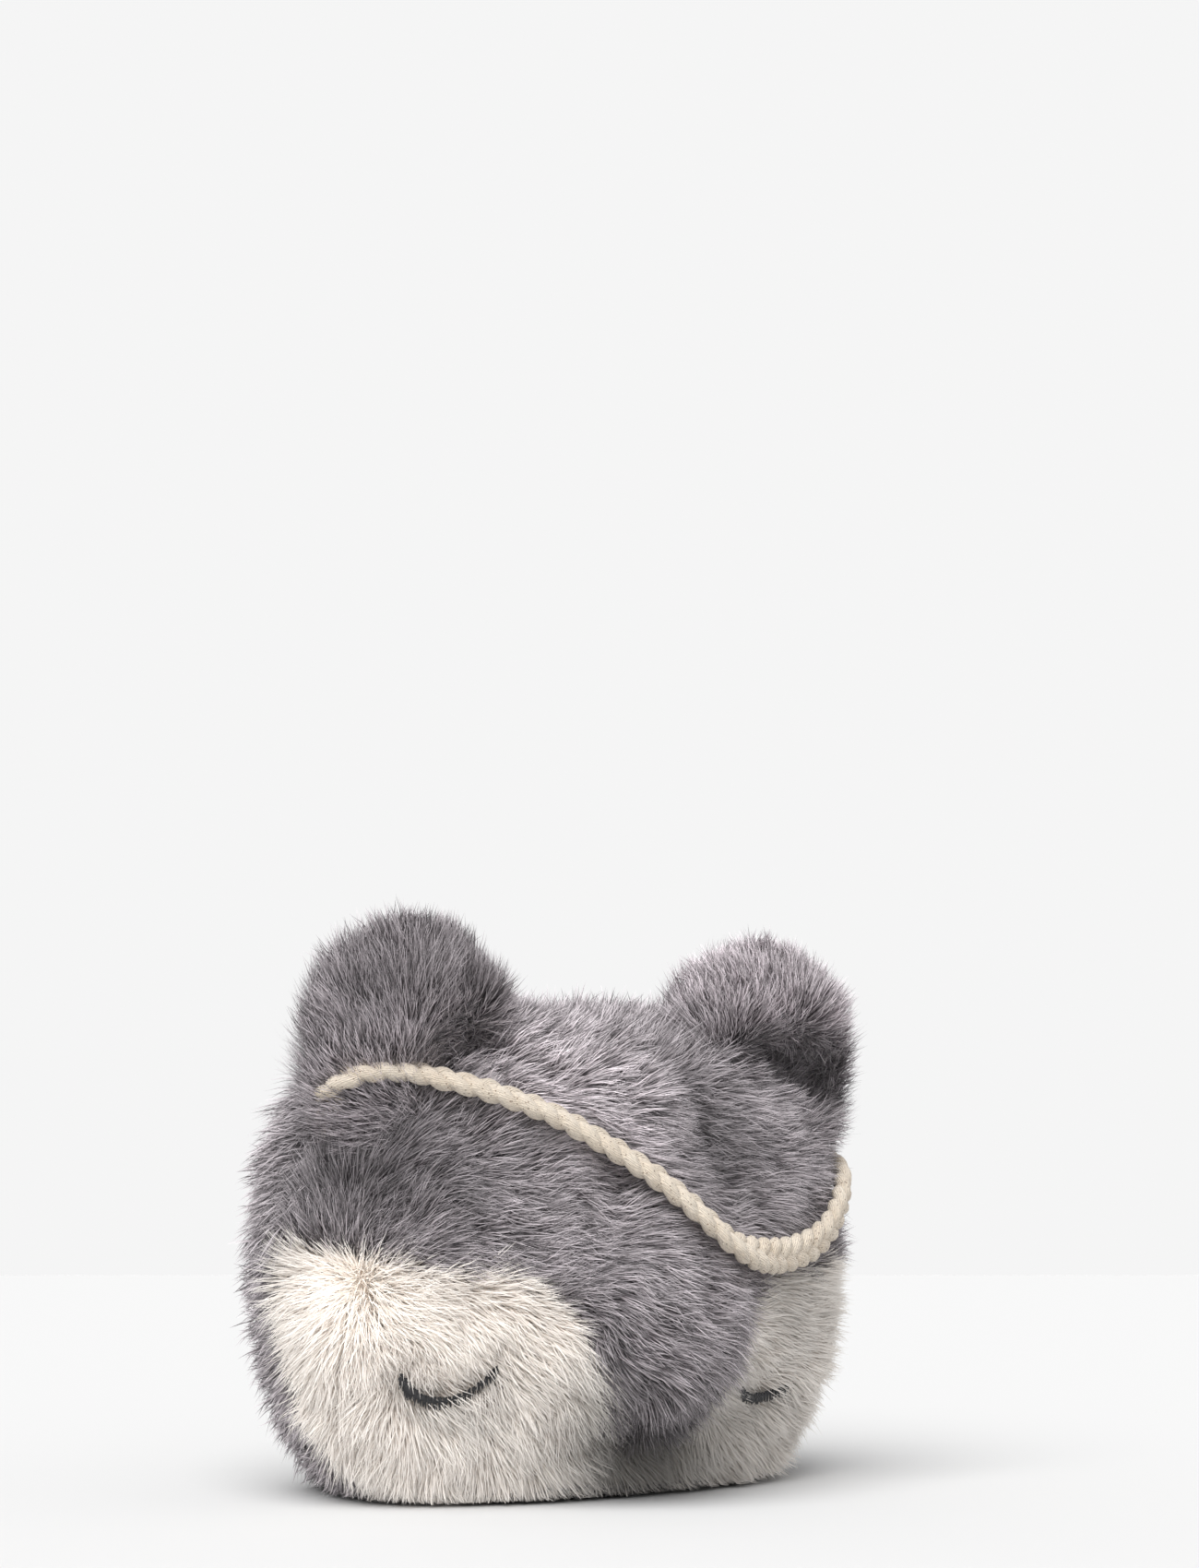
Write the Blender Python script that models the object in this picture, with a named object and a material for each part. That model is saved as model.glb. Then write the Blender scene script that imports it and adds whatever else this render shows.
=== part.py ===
"""Plush animal-head bag: a stuffed wolf-cub head with a zipped pouch at the back and a plaited strap.

Metres, +Z up. The face looks along -Y and left is -X, as seen by someone looking at the face.
The shapes are worked out round the head's own middle; the last step moves them all by FRAME_SHIFT, so that
the origin is the middle of the whole object's footprint, on the ground.
"""

import math

import bmesh
import bpy
from mathutils import Matrix, Vector

# Driving dimensions of the head.
HEAD_HALF_WIDTH = 0.103
HEAD_FRONT_DEPTH = 0.051
HEAD_BACK_DEPTH = 0.057
HEAD_TOP_HEIGHT = 0.085
HEAD_BOTTOM_HEIGHT = 0.098
HEAD_CENTRE = Vector((0.0, 0.0, 0.0754))
FRONT_ROUNDNESS = 2.36
BACK_ROUNDNESS = 3.4
BASE_EDGE_HEIGHT = 0.0015
FRAME_SHIFT = Vector((0.0, 0.009041, 0.0))

# Padded swellings and hollows: centre, height and spread.
SWELLINGS = (
    (Vector((0.0, -0.060, 0.054)), 0.026, 0.025),
    (Vector((0.0, -0.050, 0.104)), 0.004, 0.036),
    (Vector((0.0, -0.005, 0.160)), -0.004, 0.026),
)

# Plush panels, as backing and pile together, and the seams between them.
PANEL_THICKNESS = 0.006
SEAM_ANGLE = math.radians(0.35)
CROWN_EDGE = math.radians(48)
LOWEST_ROW = math.radians(-50)
STRETCH_FROM = math.radians(-20)
SIDE_BACK_EDGE = math.radians(122)

# The zip on the back.
ZIP_HEIGHT = 0.111
ZIP_HALF_LENGTH = 0.056
ZIP_PLANE = 0.0445
WINDOW_HALF_LENGTH = 0.077
WINDOW_HALF_HEIGHT = 0.010
TAPE_THICKNESS = 0.0008
TAPE_WIDTH = 0.0070
TEETH_PITCH = 0.0032
TEETH_THICKNESS = 0.0018
MOUTH_HALF_HEIGHT = 0.0024
SLIDER_AT_REST = 0.044
SLIDER_HALF = Vector((0.0055, 0.0, 0.0055))
SLIDER_PLATE = 0.0012
PIN_RADIUS = 0.0008
PIN_HEIGHT = 0.0036
PULL_LENGTH = 0.018

# The pouch and the wadding inside.
POUCH_DEPTH = 0.0090
LINING_SEAM = 0.060
POUCH_FRONT = -0.014
POUCH_WALL = 0.0012
WADDING_DEPTH = 0.0085

# Ears.
EAR_CENTRE = Vector((0.0640, -0.024, 0.1425))
EAR_HALF = Vector((0.0335, 0.024, 0.0390))
EAR_TURN = math.radians(5)
EAR_SHELL = 0.005
EAR_DISH = 0.007

# Closed eyes.
EYE_SAG = math.radians(5)
EYE_RADIUS = 0.0009
EYE_STEPS = 8

# The strap, its whole route by hand from the left anchor to the right one.
STRAP_RADIUS = 0.0042
STRAP_STEP = 0.010
ANCHOR_TURN = math.radians(84)
ANCHOR_LIFT = math.radians(23)
ANCHOR_RADIUS = 0.0055
GAP = 0.0004
STRAP_ROUTE = (
    (-0.0985, -0.0105, 0.1175),
    (-0.0990, -0.0180, 0.1195),
    (-0.0962, -0.0262, 0.1240),
    (-0.0895, -0.0308, 0.1287),
    (-0.0820, -0.0325, 0.1310),
    (-0.0711, -0.0347, 0.1311),
    (-0.0617, -0.0399, 0.1288),
    (-0.0518, -0.0448, 0.1261),
    (-0.0416, -0.0492, 0.1225),
    (-0.0312, -0.0530, 0.1182),
    (-0.0183, -0.0581, 0.1107),
    (-0.0054, -0.0634, 0.1020),
    (0.0051, -0.0675, 0.0936),
    (0.0136, -0.0698, 0.0861),
    (0.0225, -0.0698, 0.0795),
    (0.0345, -0.0646, 0.0762),
    (0.0517, -0.0550, 0.0758),
    (0.0681, -0.0476, 0.0793),
    (0.0800, -0.0419, 0.0862),
    (0.0902, -0.0338, 0.0965),
    (0.0977, -0.0230, 0.1055),
    (0.1003, -0.0150, 0.1112),
    (0.0985, -0.0105, 0.1175),
)

GREY = (0.165, 0.155, 0.168)
DARK_GREY = (0.045, 0.045, 0.052)
CREAM = (0.72, 0.68, 0.62)
FILLING = (0.86, 0.86, 0.84)
BRASS = (0.60, 0.52, 0.36)


def clear_scene():
    for thing in list(bpy.data.objects):
        bpy.data.objects.remove(thing, do_unlink=True)


def material(name, colour, roughness=0.9, metallic=0.0):
    made = bpy.data.materials.new(name)
    made.use_nodes = True
    shader = made.node_tree.nodes["Principled BSDF"]
    shader.inputs["Base Color"].default_value = (*colour, 1.0)
    shader.inputs["Roughness"].default_value = roughness
    shader.inputs["Metallic"].default_value = metallic
    return made


def finish(name, mesh, colour, roughness=0.9, metallic=0.0):
    """Turns a bmesh into a named object with its own material."""
    bmesh.ops.recalc_face_normals(mesh, faces=mesh.faces[:])
    if mesh.calc_volume(signed=True) < 0:
        bmesh.ops.reverse_faces(mesh, faces=mesh.faces[:])
    data = bpy.data.meshes.new(name)
    mesh.to_mesh(data)
    mesh.free()
    data.shade_smooth()
    data.set_sharp_from_angle(angle=math.radians(40))
    data.materials.append(material(name, colour, roughness, metallic))
    made = bpy.data.objects.new(name, data)
    bpy.context.scene.collection.objects.link(made)
    return made


# The head's outer surface, which is the mean surface of the pile's tips.


def head_radius(direction):
    """Distance from the head's centre to its surface, before the base is flattened."""
    back_share = min(max(direction.y / 0.7, 0.0), 1.0)
    back_share = back_share * back_share * (3 - 2 * back_share)
    power = FRONT_ROUNDNESS + (BACK_ROUNDNESS - FRONT_ROUNDNESS) * back_share
    depth = HEAD_BACK_DEPTH if direction.y > 0 else HEAD_FRONT_DEPTH
    height = HEAD_TOP_HEIGHT if direction.z > 0 else HEAD_BOTTOM_HEIGHT
    total = (
        abs(direction.x / HEAD_HALF_WIDTH) ** power
        + abs(direction.y / depth) ** power
        + abs(direction.z / height) ** power
    )
    radius = total ** (-1 / power)
    spot = HEAD_CENTRE + direction * radius
    for centre, rise, spread in SWELLINGS:
        radius += rise * math.exp(-(spot - centre).length_squared / (2 * spread**2))
    return radius


def head_point(turn, lift, depth=0.0):
    """A point at this azimuth from the face and this elevation, this far under the surface."""
    direction = Vector(
        (math.sin(turn) * math.cos(lift), -math.cos(turn) * math.cos(lift), math.sin(lift))
    )
    spot = HEAD_CENTRE + direction * (head_radius(direction) - depth)
    spot.z = max(spot.z, depth)
    return spot


def lift_at_height(turn, height):
    """The elevation at which the surface reaches this height, on one azimuth."""
    low, high = math.radians(-75), math.radians(75)
    for _ in range(30):
        middle = (low + high) / 2
        direction = Vector(
            (math.sin(turn) * math.cos(middle), -math.cos(turn) * math.cos(middle), math.sin(middle))
        )
        if HEAD_CENTRE.z + direction.z * head_radius(direction) < height:
            low = middle
        else:
            high = middle
    return middle


def fitted_lift(turn, lift):
    """Stretches the lower rows so that the lowest one ends on the edge of the base."""
    if lift > STRETCH_FROM:
        return lift
    share = (lift - STRETCH_FROM) / (LOWEST_ROW - STRETCH_FROM)
    return STRETCH_FROM + share * (lift_at_height(turn, BASE_EDGE_HEIGHT) - STRETCH_FROM)


# Panels: each is a sheet between two seams, thickened towards the head's centre.


def verts_of(result):
    return [piece for piece in result["geom"] if isinstance(piece, bmesh.types.BMVert)]


def thick_sheet(name, across, along, place, colour, roughness=0.9):
    """A closed plate: place(u, v, inner) gives both faces, with u and v from 0 to 1."""
    mesh = bmesh.new()
    bmesh.ops.create_grid(mesh, x_segments=across, y_segments=along, size=0.5)
    inner = set(verts_of(bmesh.ops.extrude_face_region(mesh, geom=mesh.faces[:])))
    for vert in mesh.verts:
        vert.co = place(vert.co.x + 0.5, vert.co.y + 0.5, vert in inner)
    return finish(name, mesh, colour, roughness)


def seam(points, share):
    """A place along a seam, given as corner points in degrees, at equal shares of its stretches."""
    scaled = min(max(share, 0.0), 1.0) * (len(points) - 1)
    index = min(int(scaled), len(points) - 2)
    blend = scaled - index
    (turn_a, lift_a), (turn_b, lift_b) = points[index], points[index + 1]
    return Vector((turn_a + (turn_b - turn_a) * blend, lift_a + (lift_b - lift_a) * blend))


def seam_inset(points):
    """The share of a seam that one seam allowance takes at its ends."""
    shortest = min((Vector(b) - Vector(a)).length for a, b in zip(points, points[1:]))
    return math.degrees(SEAM_ANGLE) / (shortest * (len(points) - 1))


def ruled_panel(name, first, second, across, along, colour, upright=False):
    """A panel between two seams. Its rows run level, or upright where upright is set."""
    inset_first, inset_second = seam_inset(first), seam_inset(second)
    allowance = math.degrees(SEAM_ANGLE)

    def place(u, v, inner):
        step, way = (u, v) if upright else (v, u)
        start = seam(first, inset_first + step * (1 - 2 * inset_first))
        end = seam(second, inset_second + step * (1 - 2 * inset_second))
        run = end - start
        margin = allowance / max(run.length, allowance * 3)
        spot = start + run * (margin + way * (1 - 2 * margin))
        turn, lift = math.radians(spot.x), math.radians(spot.y)
        return head_point(turn, fitted_lift(turn, lift), PANEL_THICKNESS * inner)

    return thick_sheet(name, across, along, place, colour)


def mirrored(points):
    return tuple((-turn, lift) for turn, lift in points)


SIDE_FRONT_UPPER = ((-60, 48), (-72, 33), (-80, 17), (-85, 1))
SIDE_FRONT_LOWER = ((-85, 1), (-85, -16), (-84, -34), (-79, -50))
CHEEK_INNER = ((-43, -5), (-31, -13), (-21, -23), (-16, -32))
CHIN_SIDE = ((-16, -32), (-16, -50))
BLAZE_END = ((-16, -32), (-8, -37))


def face_panels():
    forehead_edge = (
        SIDE_FRONT_UPPER
        + ((-71, -1), (-57, -3))
        + CHEEK_INNER
        + BLAZE_END[1:]
    )
    ruled_panel("forehead_panel", forehead_edge, mirrored(forehead_edge), 18, 30, GREY)
    outer = SIDE_FRONT_LOWER
    inner = CHEEK_INNER + CHIN_SIDE[1:]
    ruled_panel("left_cheek_patch", outer, inner, 9, 12, CREAM)
    ruled_panel("right_cheek_patch", mirrored(inner), mirrored(outer), 9, 12, CREAM)
    chin_top = BLAZE_END + mirrored(BLAZE_END)[::-1]
    chin_bottom = ((-16, -50), (-6, -50), (6, -50), (16, -50))
    ruled_panel("chin_panel", chin_bottom, chin_top, 6, 4, CREAM, upright=True)


def side_panels():
    back = math.degrees(SIDE_BACK_EDGE)
    front = SIDE_FRONT_UPPER + SIDE_FRONT_LOWER[1:]
    rear = tuple((-back, lift) for turn, lift in front)
    ruled_panel("left_side_panel", rear, front, 6, 18, GREY)
    ruled_panel("right_side_panel", mirrored(front), mirrored(rear), 6, 18, GREY)


def window_edge(turn, side):
    """The elevation of the zip window's upper (+1) or lower (-1) edge on one azimuth."""
    middle = head_point(turn, lift_at_height(turn, ZIP_HEIGHT))
    share = min(abs(middle.x) / WINDOW_HALF_LENGTH, 1.0)
    opening = WINDOW_HALF_HEIGHT * (1 - share**4)
    return lift_at_height(turn, ZIP_HEIGHT + side * opening) + side * SEAM_ANGLE


def back_panels():
    start = SIDE_BACK_EDGE + SEAM_ANGLE
    sweep = 2 * math.pi - 2 * start

    def upper(u, v, inner):
        turn = start + sweep * u
        low, high = window_edge(turn, 1), CROWN_EDGE - SEAM_ANGLE
        return head_point(turn, low + (high - low) * v, PANEL_THICKNESS * inner)

    def lower(u, v, inner):
        turn = start + sweep * u
        low = fitted_lift(turn, LOWEST_ROW) + SEAM_ANGLE
        high = window_edge(turn, -1)
        return head_point(turn, low + (high - low) * v, PANEL_THICKNESS * inner)

    thick_sheet("back_upper_panel", 16, 4, upper, GREY)
    thick_sheet("back_lower_panel", 16, 10, lower, GREY)


def disc_of(u, v):
    """Maps a unit square onto a unit disc: the distance from its middle, and the azimuth."""
    x, y = 2 * u - 1, 2 * v - 1
    spread_x, spread_y = x * math.sqrt(1 - y * y / 2), y * math.sqrt(1 - x * x / 2)
    return math.hypot(spread_x, spread_y), math.atan2(spread_x, -spread_y)


def crown_and_base():
    def crown(u, v, inner):
        away, turn = disc_of(u, v)
        reach = math.pi / 2 - CROWN_EDGE - SEAM_ANGLE
        return head_point(turn, math.pi / 2 - away * reach, PANEL_THICKNESS * inner)

    def base(u, v, inner):
        away, turn = disc_of(u, v)
        reach = math.pi / 2 + lift_at_height(turn, BASE_EDGE_HEIGHT) - SEAM_ANGLE
        return head_point(turn, -math.pi / 2 + away * reach, PANEL_THICKNESS * inner)

    thick_sheet("crown_panel", 12, 12, crown, GREY)
    thick_sheet("base_panel", 8, 8, base, DARK_GREY)


# Inside the head.


def inner_blob(depth, divisions):
    """The head's shape this far under its surface."""
    mesh = bmesh.new()
    bmesh.ops.create_icosphere(mesh, subdivisions=divisions, radius=1.0)
    for vert in mesh.verts:
        across = math.hypot(vert.co.x, vert.co.y)
        vert.co = head_point(math.atan2(vert.co.x, -vert.co.y), math.atan2(vert.co.z, across), depth)
    return mesh


def cut(mesh, spot, normal):
    """Cuts away the side that the normal points to, and closes the cut."""
    geometry = mesh.verts[:] + mesh.edges[:] + mesh.faces[:]
    bmesh.ops.bisect_plane(mesh, geom=geometry, plane_co=spot, plane_no=normal, clear_outer=True)
    rim = [edge for edge in mesh.edges if edge.is_boundary]
    bmesh.ops.holes_fill(mesh, edges=rim, sides=0)
    bmesh.ops.triangulate(mesh, faces=[face for face in mesh.faces if len(face.verts) > 4])


def box_mesh(low, high):
    mesh = bmesh.new()
    low, high = Vector(low), Vector(high)
    bmesh.ops.create_cube(mesh, size=1.0)
    bmesh.ops.scale(mesh, vec=high - low, verts=mesh.verts[:])
    bmesh.ops.translate(mesh, vec=(low + high) / 2, verts=mesh.verts[:])
    return mesh


def cutter(name, mesh):
    made = finish(name, mesh, GREY)
    made.hide_render = True
    made.display_type = "WIRE"
    return made


def boolean(target, tool, operation="DIFFERENCE"):
    modifier = target.modifiers.new(tool.name, "BOOLEAN")
    modifier.operation = operation
    modifier.solver = "EXACT"
    modifier.object = tool


def wadding():
    mesh = inner_blob(WADDING_DEPTH, 4)
    cut(mesh, Vector((0, POUCH_FRONT - GAP * 2, 0)), Vector((0, 1, 0)))
    finish("face_wadding", mesh, FILLING)


def pouch_cutters():
    hollow = inner_blob(POUCH_DEPTH + POUCH_WALL, 4)
    cut(hollow, Vector((0, ZIP_PLANE - GAP - POUCH_WALL, 0)), Vector((0, 1, 0)))
    cut(hollow, Vector((0, POUCH_FRONT + POUCH_WALL, 0)), Vector((0, -1, 0)))
    reach, half = ZIP_HALF_LENGTH + 0.001, MOUTH_HALF_HEIGHT + 0.0045
    mouth = box_mesh(
        (-reach, ZIP_PLANE - 0.01, ZIP_HEIGHT - half), (reach, ZIP_PLANE + 0.01, ZIP_HEIGHT + half)
    )
    return cutter("pouch_hollow", hollow), cutter("pouch_mouth", mouth)


def pouch():
    """The lining is sewn from a middle strip and two end pieces."""
    hollow, mouth = pouch_cutters()
    for word, low, high in (("left", -1, -1), ("middle", -1, 1), ("right", 1, 1)):
        mesh = inner_blob(POUCH_DEPTH, 4)
        cut(mesh, Vector((0, ZIP_PLANE - GAP, 0)), Vector((0, 1, 0)))
        cut(mesh, Vector((0, POUCH_FRONT, 0)), Vector((0, -1, 0)))
        if word != "left":
            cut(mesh, Vector((low * LINING_SEAM + GAP / 2, 0, 0)), Vector((-1, 0, 0)))
        if word != "right":
            cut(mesh, Vector((high * LINING_SEAM - GAP / 2, 0, 0)), Vector((1, 0, 0)))
        piece = finish("pouch_lining_" + word, mesh, (0.30, 0.29, 0.31))
        boolean(piece, hollow)
        if word == "middle":
            boolean(piece, mouth)


# The zip.


def zip_rows():
    for side, word in ((1, "upper"), (-1, "lower")):
        near = ZIP_HEIGHT + side * (MOUTH_HALF_HEIGHT + 0.0010)
        far = near + side * TAPE_WIDTH
        tape = box_mesh(
            (-ZIP_HALF_LENGTH, ZIP_PLANE, min(near, far)),
            (ZIP_HALF_LENGTH, ZIP_PLANE + TAPE_THICKNESS, max(near, far)),
        )
        finish("zip_tape_" + word, tape, DARK_GREY)
        teeth_row(side, word)


def teeth_row(side, word):
    """A rail with square teeth towards the other row, made by extruding every second strip."""
    front = ZIP_PLANE + TAPE_THICKNESS + GAP
    steps = 2 * round(2 * ZIP_HALF_LENGTH / TEETH_PITCH / 2) * 2 + 1
    mesh = bmesh.new()
    bmesh.ops.create_grid(mesh, x_segments=steps, y_segments=1, size=0.5)
    bmesh.ops.scale(mesh, vec=(2 * ZIP_HALF_LENGTH, 0.0016, 1), verts=mesh.verts[:])
    near = [edge for edge in mesh.edges if all(vert.co.y < 0 for vert in edge.verts)]
    near.sort(key=lambda edge: edge.verts[0].co.x + edge.verts[1].co.x)
    tips = verts_of(bmesh.ops.extrude_edge_only(mesh, edges=near[1::4] + near[2::4]))
    bmesh.ops.translate(mesh, vec=(0, -0.0010, 0), verts=tips)
    bmesh.ops.remove_doubles(mesh, verts=mesh.verts[:], dist=0.00001)
    top = verts_of(bmesh.ops.extrude_face_region(mesh, geom=mesh.faces[:]))
    bmesh.ops.translate(mesh, vec=(0, 0, TEETH_THICKNESS), verts=top)
    upright = Matrix.Rotation(math.radians(90 * side), 4, "X")
    bmesh.ops.transform(mesh, matrix=upright, verts=mesh.verts[:])
    low = min(vert.co.y for vert in mesh.verts)
    height = ZIP_HEIGHT + side * (MOUTH_HALF_HEIGHT + 0.0018)
    bmesh.ops.translate(mesh, vec=(0, front - low, height), verts=mesh.verts[:])
    finish("zip_teeth_" + word, mesh, (0.50, 0.50, 0.50), 0.35)


def zip_stops():
    front = slider_frame()[0]
    half = MOUTH_HALF_HEIGHT + 0.0014
    for side, word in ((-1, "left"), (1, "right")):
        middle = side * (ZIP_HALF_LENGTH - 0.0025)
        mesh = box_mesh(
            (middle - 0.0015, front, ZIP_HEIGHT - half),
            (middle + 0.0015, front + 0.0014, ZIP_HEIGHT + half),
        )
        finish("zip_stop_" + word, mesh, (0.55, 0.50, 0.40), 0.35, 1.0)


def slider_frame():
    """Distances outward from the back: over the teeth, the pin of the pull, under the tape."""
    over = ZIP_PLANE + TAPE_THICKNESS + TEETH_THICKNESS + 2 * GAP
    return over, over + PIN_HEIGHT, ZIP_PLANE - 0.0022


def zip_slider():
    over, pin, under = slider_frame()
    x, half = SLIDER_AT_REST, SLIDER_HALF
    low, high = ZIP_HEIGHT - half.z, ZIP_HEIGHT + half.z
    top_plate = box_mesh((x - half.x, over, low), (x + half.x, over + SLIDER_PLATE, high))
    plate = finish("zip_slider", top_plate, BRASS, 0.3, 1.0)
    pieces = [
        box_mesh((x - half.x, under, low), (x + half.x, under + SLIDER_PLATE, high)),
        box_mesh(
            (x - 0.002, under + 0.0006, ZIP_HEIGHT - 0.0016), (x + 0.002, over + 0.0006, ZIP_HEIGHT + 0.0016)
        ),
        box_mesh((x - 0.001, over + 0.0006, high - 0.0022), (x + 0.001, pin + 0.0012, high - 0.001)),
        box_mesh((x - 0.001, over + 0.0006, low + 0.001), (x + 0.001, pin + 0.0012, low + 0.0022)),
        pin_mesh(Vector((x, pin, ZIP_HEIGHT)), PIN_RADIUS, 2 * half.z - 0.0034),
    ]
    for index, mesh in enumerate(pieces):
        boolean(plate, cutter(f"slider_piece_{index}", mesh), "UNION")


def pin_mesh(middle, radius, length):
    mesh = bmesh.new()
    bmesh.ops.create_cone(mesh, cap_ends=True, segments=16, radius1=radius, radius2=radius, depth=length)
    bmesh.ops.translate(mesh, vec=middle, verts=mesh.verts[:])
    return mesh


def zip_pull():
    pin = slider_frame()[1]
    x = SLIDER_AT_REST
    eye = pin_mesh(Vector((0, 0, 0)), PIN_RADIUS + 0.0012, 0.0050)
    pull = finish("zip_pull", eye, BRASS, 0.3, 1.0)
    pull.location = Vector((x, pin, ZIP_HEIGHT))
    tab = cutter("pull_tab", box_mesh((-PULL_LENGTH, -0.0007, -0.0025), (-0.0012, 0.0007, 0.0025)))
    hole = cutter("pull_hole", pin_mesh(Vector((0, 0, 0)), PIN_RADIUS + 0.0003, 0.0100))
    for tool in (tab, hole):
        tool.location = pull.location
    boolean(pull, tab, "UNION")
    boolean(pull, hole)


# Ears.


def ear_matrix(side):
    centre = Vector((side * EAR_CENTRE.x, EAR_CENTRE.y, EAR_CENTRE.z))
    return Matrix.Translation(centre) @ Matrix.Rotation(side * EAR_TURN, 4, "Z")


def whole_dome(half, side):
    """The whole ellipsoid of an ear, which hollows the ear's back and reaches past its open front."""
    mesh = bmesh.new()
    bmesh.ops.create_uvsphere(mesh, u_segments=20, v_segments=12, radius=1.0)
    bmesh.ops.scale(mesh, vec=half, verts=mesh.verts[:])
    bmesh.ops.transform(mesh, matrix=ear_matrix(side), verts=mesh.verts[:])
    return mesh


def half_dome(half, side):
    """The closed back half of an ear's ellipsoid."""
    mesh = whole_dome(half, side)
    place = ear_matrix(side)
    cut(mesh, place.translation, place.to_3x3() @ Vector((0, -1, 0)))
    return mesh


def dish_point(half, u, v, depth):
    """A point of the ear's hollow front, with the hollow in its lower middle."""
    away, turn = disc_of(u, v)
    x, z = half.x * away * math.sin(turn), -half.z * away * math.cos(turn)
    hollow = EAR_DISH * math.exp(-((x / 0.018) ** 2 + ((z + 0.006) / 0.018) ** 2))
    return Vector((x, depth + hollow * (1 - away**4), z))


def ear(side, word, head):
    shrink = Vector((EAR_SHELL, EAR_SHELL, EAR_SHELL))
    place = ear_matrix(side)
    back = finish(word + "_ear_back", half_dome(EAR_HALF, side), GREY)
    boolean(back, cutter(word + "_ear_hollow", whole_dome(EAR_HALF - shrink, side)))
    front_half = EAR_HALF - shrink - Vector((GAP, GAP, GAP)) * 2

    def inner(u, v, is_inner):
        return place @ dish_point(front_half * 0.95, u, v, 0.0035 * is_inner)

    front = thick_sheet(word + "_ear_inner", 10, 10, inner, DARK_GREY)
    stuffing = finish(word + "_ear_wadding", half_dome(front_half, side), FILLING)

    def clearance(u, v, is_inner):
        wide = front_half + Vector((0.006, 0, 0.006))
        return place @ dish_point(wide, u, v, 0.0039 if is_inner else -0.02)

    boolean(stuffing, cutter(word + "_ear_front_space", sheet_cutter(clearance)))
    for piece in (back, front, stuffing):
        boolean(piece, head)


def sheet_cutter(place):
    mesh = bmesh.new()
    bmesh.ops.create_grid(mesh, x_segments=10, y_segments=10, size=0.5)
    inner = set(verts_of(bmesh.ops.extrude_face_region(mesh, geom=mesh.faces[:])))
    for vert in mesh.verts:
        vert.co = place(vert.co.x + 0.5, vert.co.y + 0.5, vert in inner)
    return mesh


def ears():
    head = cutter("head_cutter", inner_blob(-GAP * 2, 5))
    for side, word in ((-1, "left"), (1, "right")):
        ear(side, word, head)


# Eyes, strap and anchors.


def tube(name, points, radius, colour, resolution=2, roughness=0.9):
    curve = bpy.data.curves.new(name, "CURVE")
    curve.dimensions = "3D"
    curve.bevel_depth = radius
    curve.bevel_resolution = resolution
    curve.use_fill_caps = True
    spline = curve.splines.new("POLY")
    spline.points.add(len(points) - 1)
    for target, spot in zip(spline.points, points):
        target.co = (*spot, 1.0)
    curve.materials.append(material(name, colour, roughness))
    made = bpy.data.objects.new(name, curve)
    bpy.context.scene.collection.objects.link(made)
    return made


def smooth_route(points, step):
    """Points at equal steps along a smooth curve through the route's own points."""
    points = [Vector(spot) for spot in points]
    ends = [2 * points[0] - points[1]] + points + [2 * points[-1] - points[-2]]
    fine = []
    for a, b, c, d in zip(ends, ends[1:], ends[2:], ends[3:]):
        for index in range(20):
            t = index / 20
            square = (2 * a - 5 * b + 4 * c - d) * t**2
            fine.append(0.5 * (2 * b + (c - a) * t + square + (3 * b - a - 3 * c + d) * t**3))
    fine.append(points[-1])
    lengths = [0.0]
    for a, b in zip(fine, fine[1:]):
        lengths.append(lengths[-1] + (b - a).length)
    count = round(lengths[-1] / step)
    placed, index = [], 0
    for number in range(count + 1):
        wanted = lengths[-1] * number / count
        while index < len(fine) - 2 and lengths[index + 1] < wanted:
            index += 1
        share = (wanted - lengths[index]) / (lengths[index + 1] - lengths[index])
        placed.append(fine[index].lerp(fine[index + 1], share))
    return placed


def lashes():
    """Each closed eye: a stitched arc that hangs down between its two corners."""
    for word, start, end, lift_at_corners in (("left", -62.5, -43.5, -24.5), ("right", 34.5, 53.0, -28.0)):
        arc = []
        for index in range(EYE_STEPS + 1):
            share = index / EYE_STEPS
            turn = math.radians(start + (end - start) * share)
            lift = math.radians(lift_at_corners) - EYE_SAG * math.sin(math.pi * share)
            arc.append(head_point(turn, lift, -EYE_RADIUS - GAP))
        tube(word + "_eye_lashes", arc, EYE_RADIUS, (0.03, 0.035, 0.05))


def strap():
    tube("strap_braid", smooth_route(STRAP_ROUTE, STRAP_STEP), STRAP_RADIUS, CREAM, 2)


def anchor_mesh(side, radius, top):
    """A short upright cylinder sunk into the side seam, its axis along the surface's normal."""
    outer = head_point(side * ANCHOR_TURN, ANCHOR_LIFT)
    outward = (outer - HEAD_CENTRE).normalized()
    mesh = bmesh.new()
    depth = top + PANEL_THICKNESS
    bmesh.ops.create_cone(mesh, cap_ends=True, segments=20, radius1=radius, radius2=radius, depth=depth)
    turned = Vector((0, 0, 1)).rotation_difference(outward).to_matrix().to_4x4()
    middle = outer + outward * (top - PANEL_THICKNESS) / 2
    bmesh.ops.transform(mesh, matrix=Matrix.Translation(middle) @ turned, verts=mesh.verts[:])
    return mesh


def strap_anchors():
    """The strap's sewn ends, each in a pocket where the forehead and a side panel meet."""
    for side, word in ((-1, "left"), (1, "right")):
        pocket = cutter(word + "_strap_pocket", anchor_mesh(side, ANCHOR_RADIUS + GAP, 0.01))
        boolean(bpy.data.objects["forehead_panel"], pocket)
        boolean(bpy.data.objects[word + "_side_panel"], pocket)
        finish("strap_anchor_" + word, anchor_mesh(side, ANCHOR_RADIUS, 0.0), CREAM)


def centre_frame():
    for made in bpy.context.scene.collection.objects:
        made.location += FRAME_SHIFT


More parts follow.
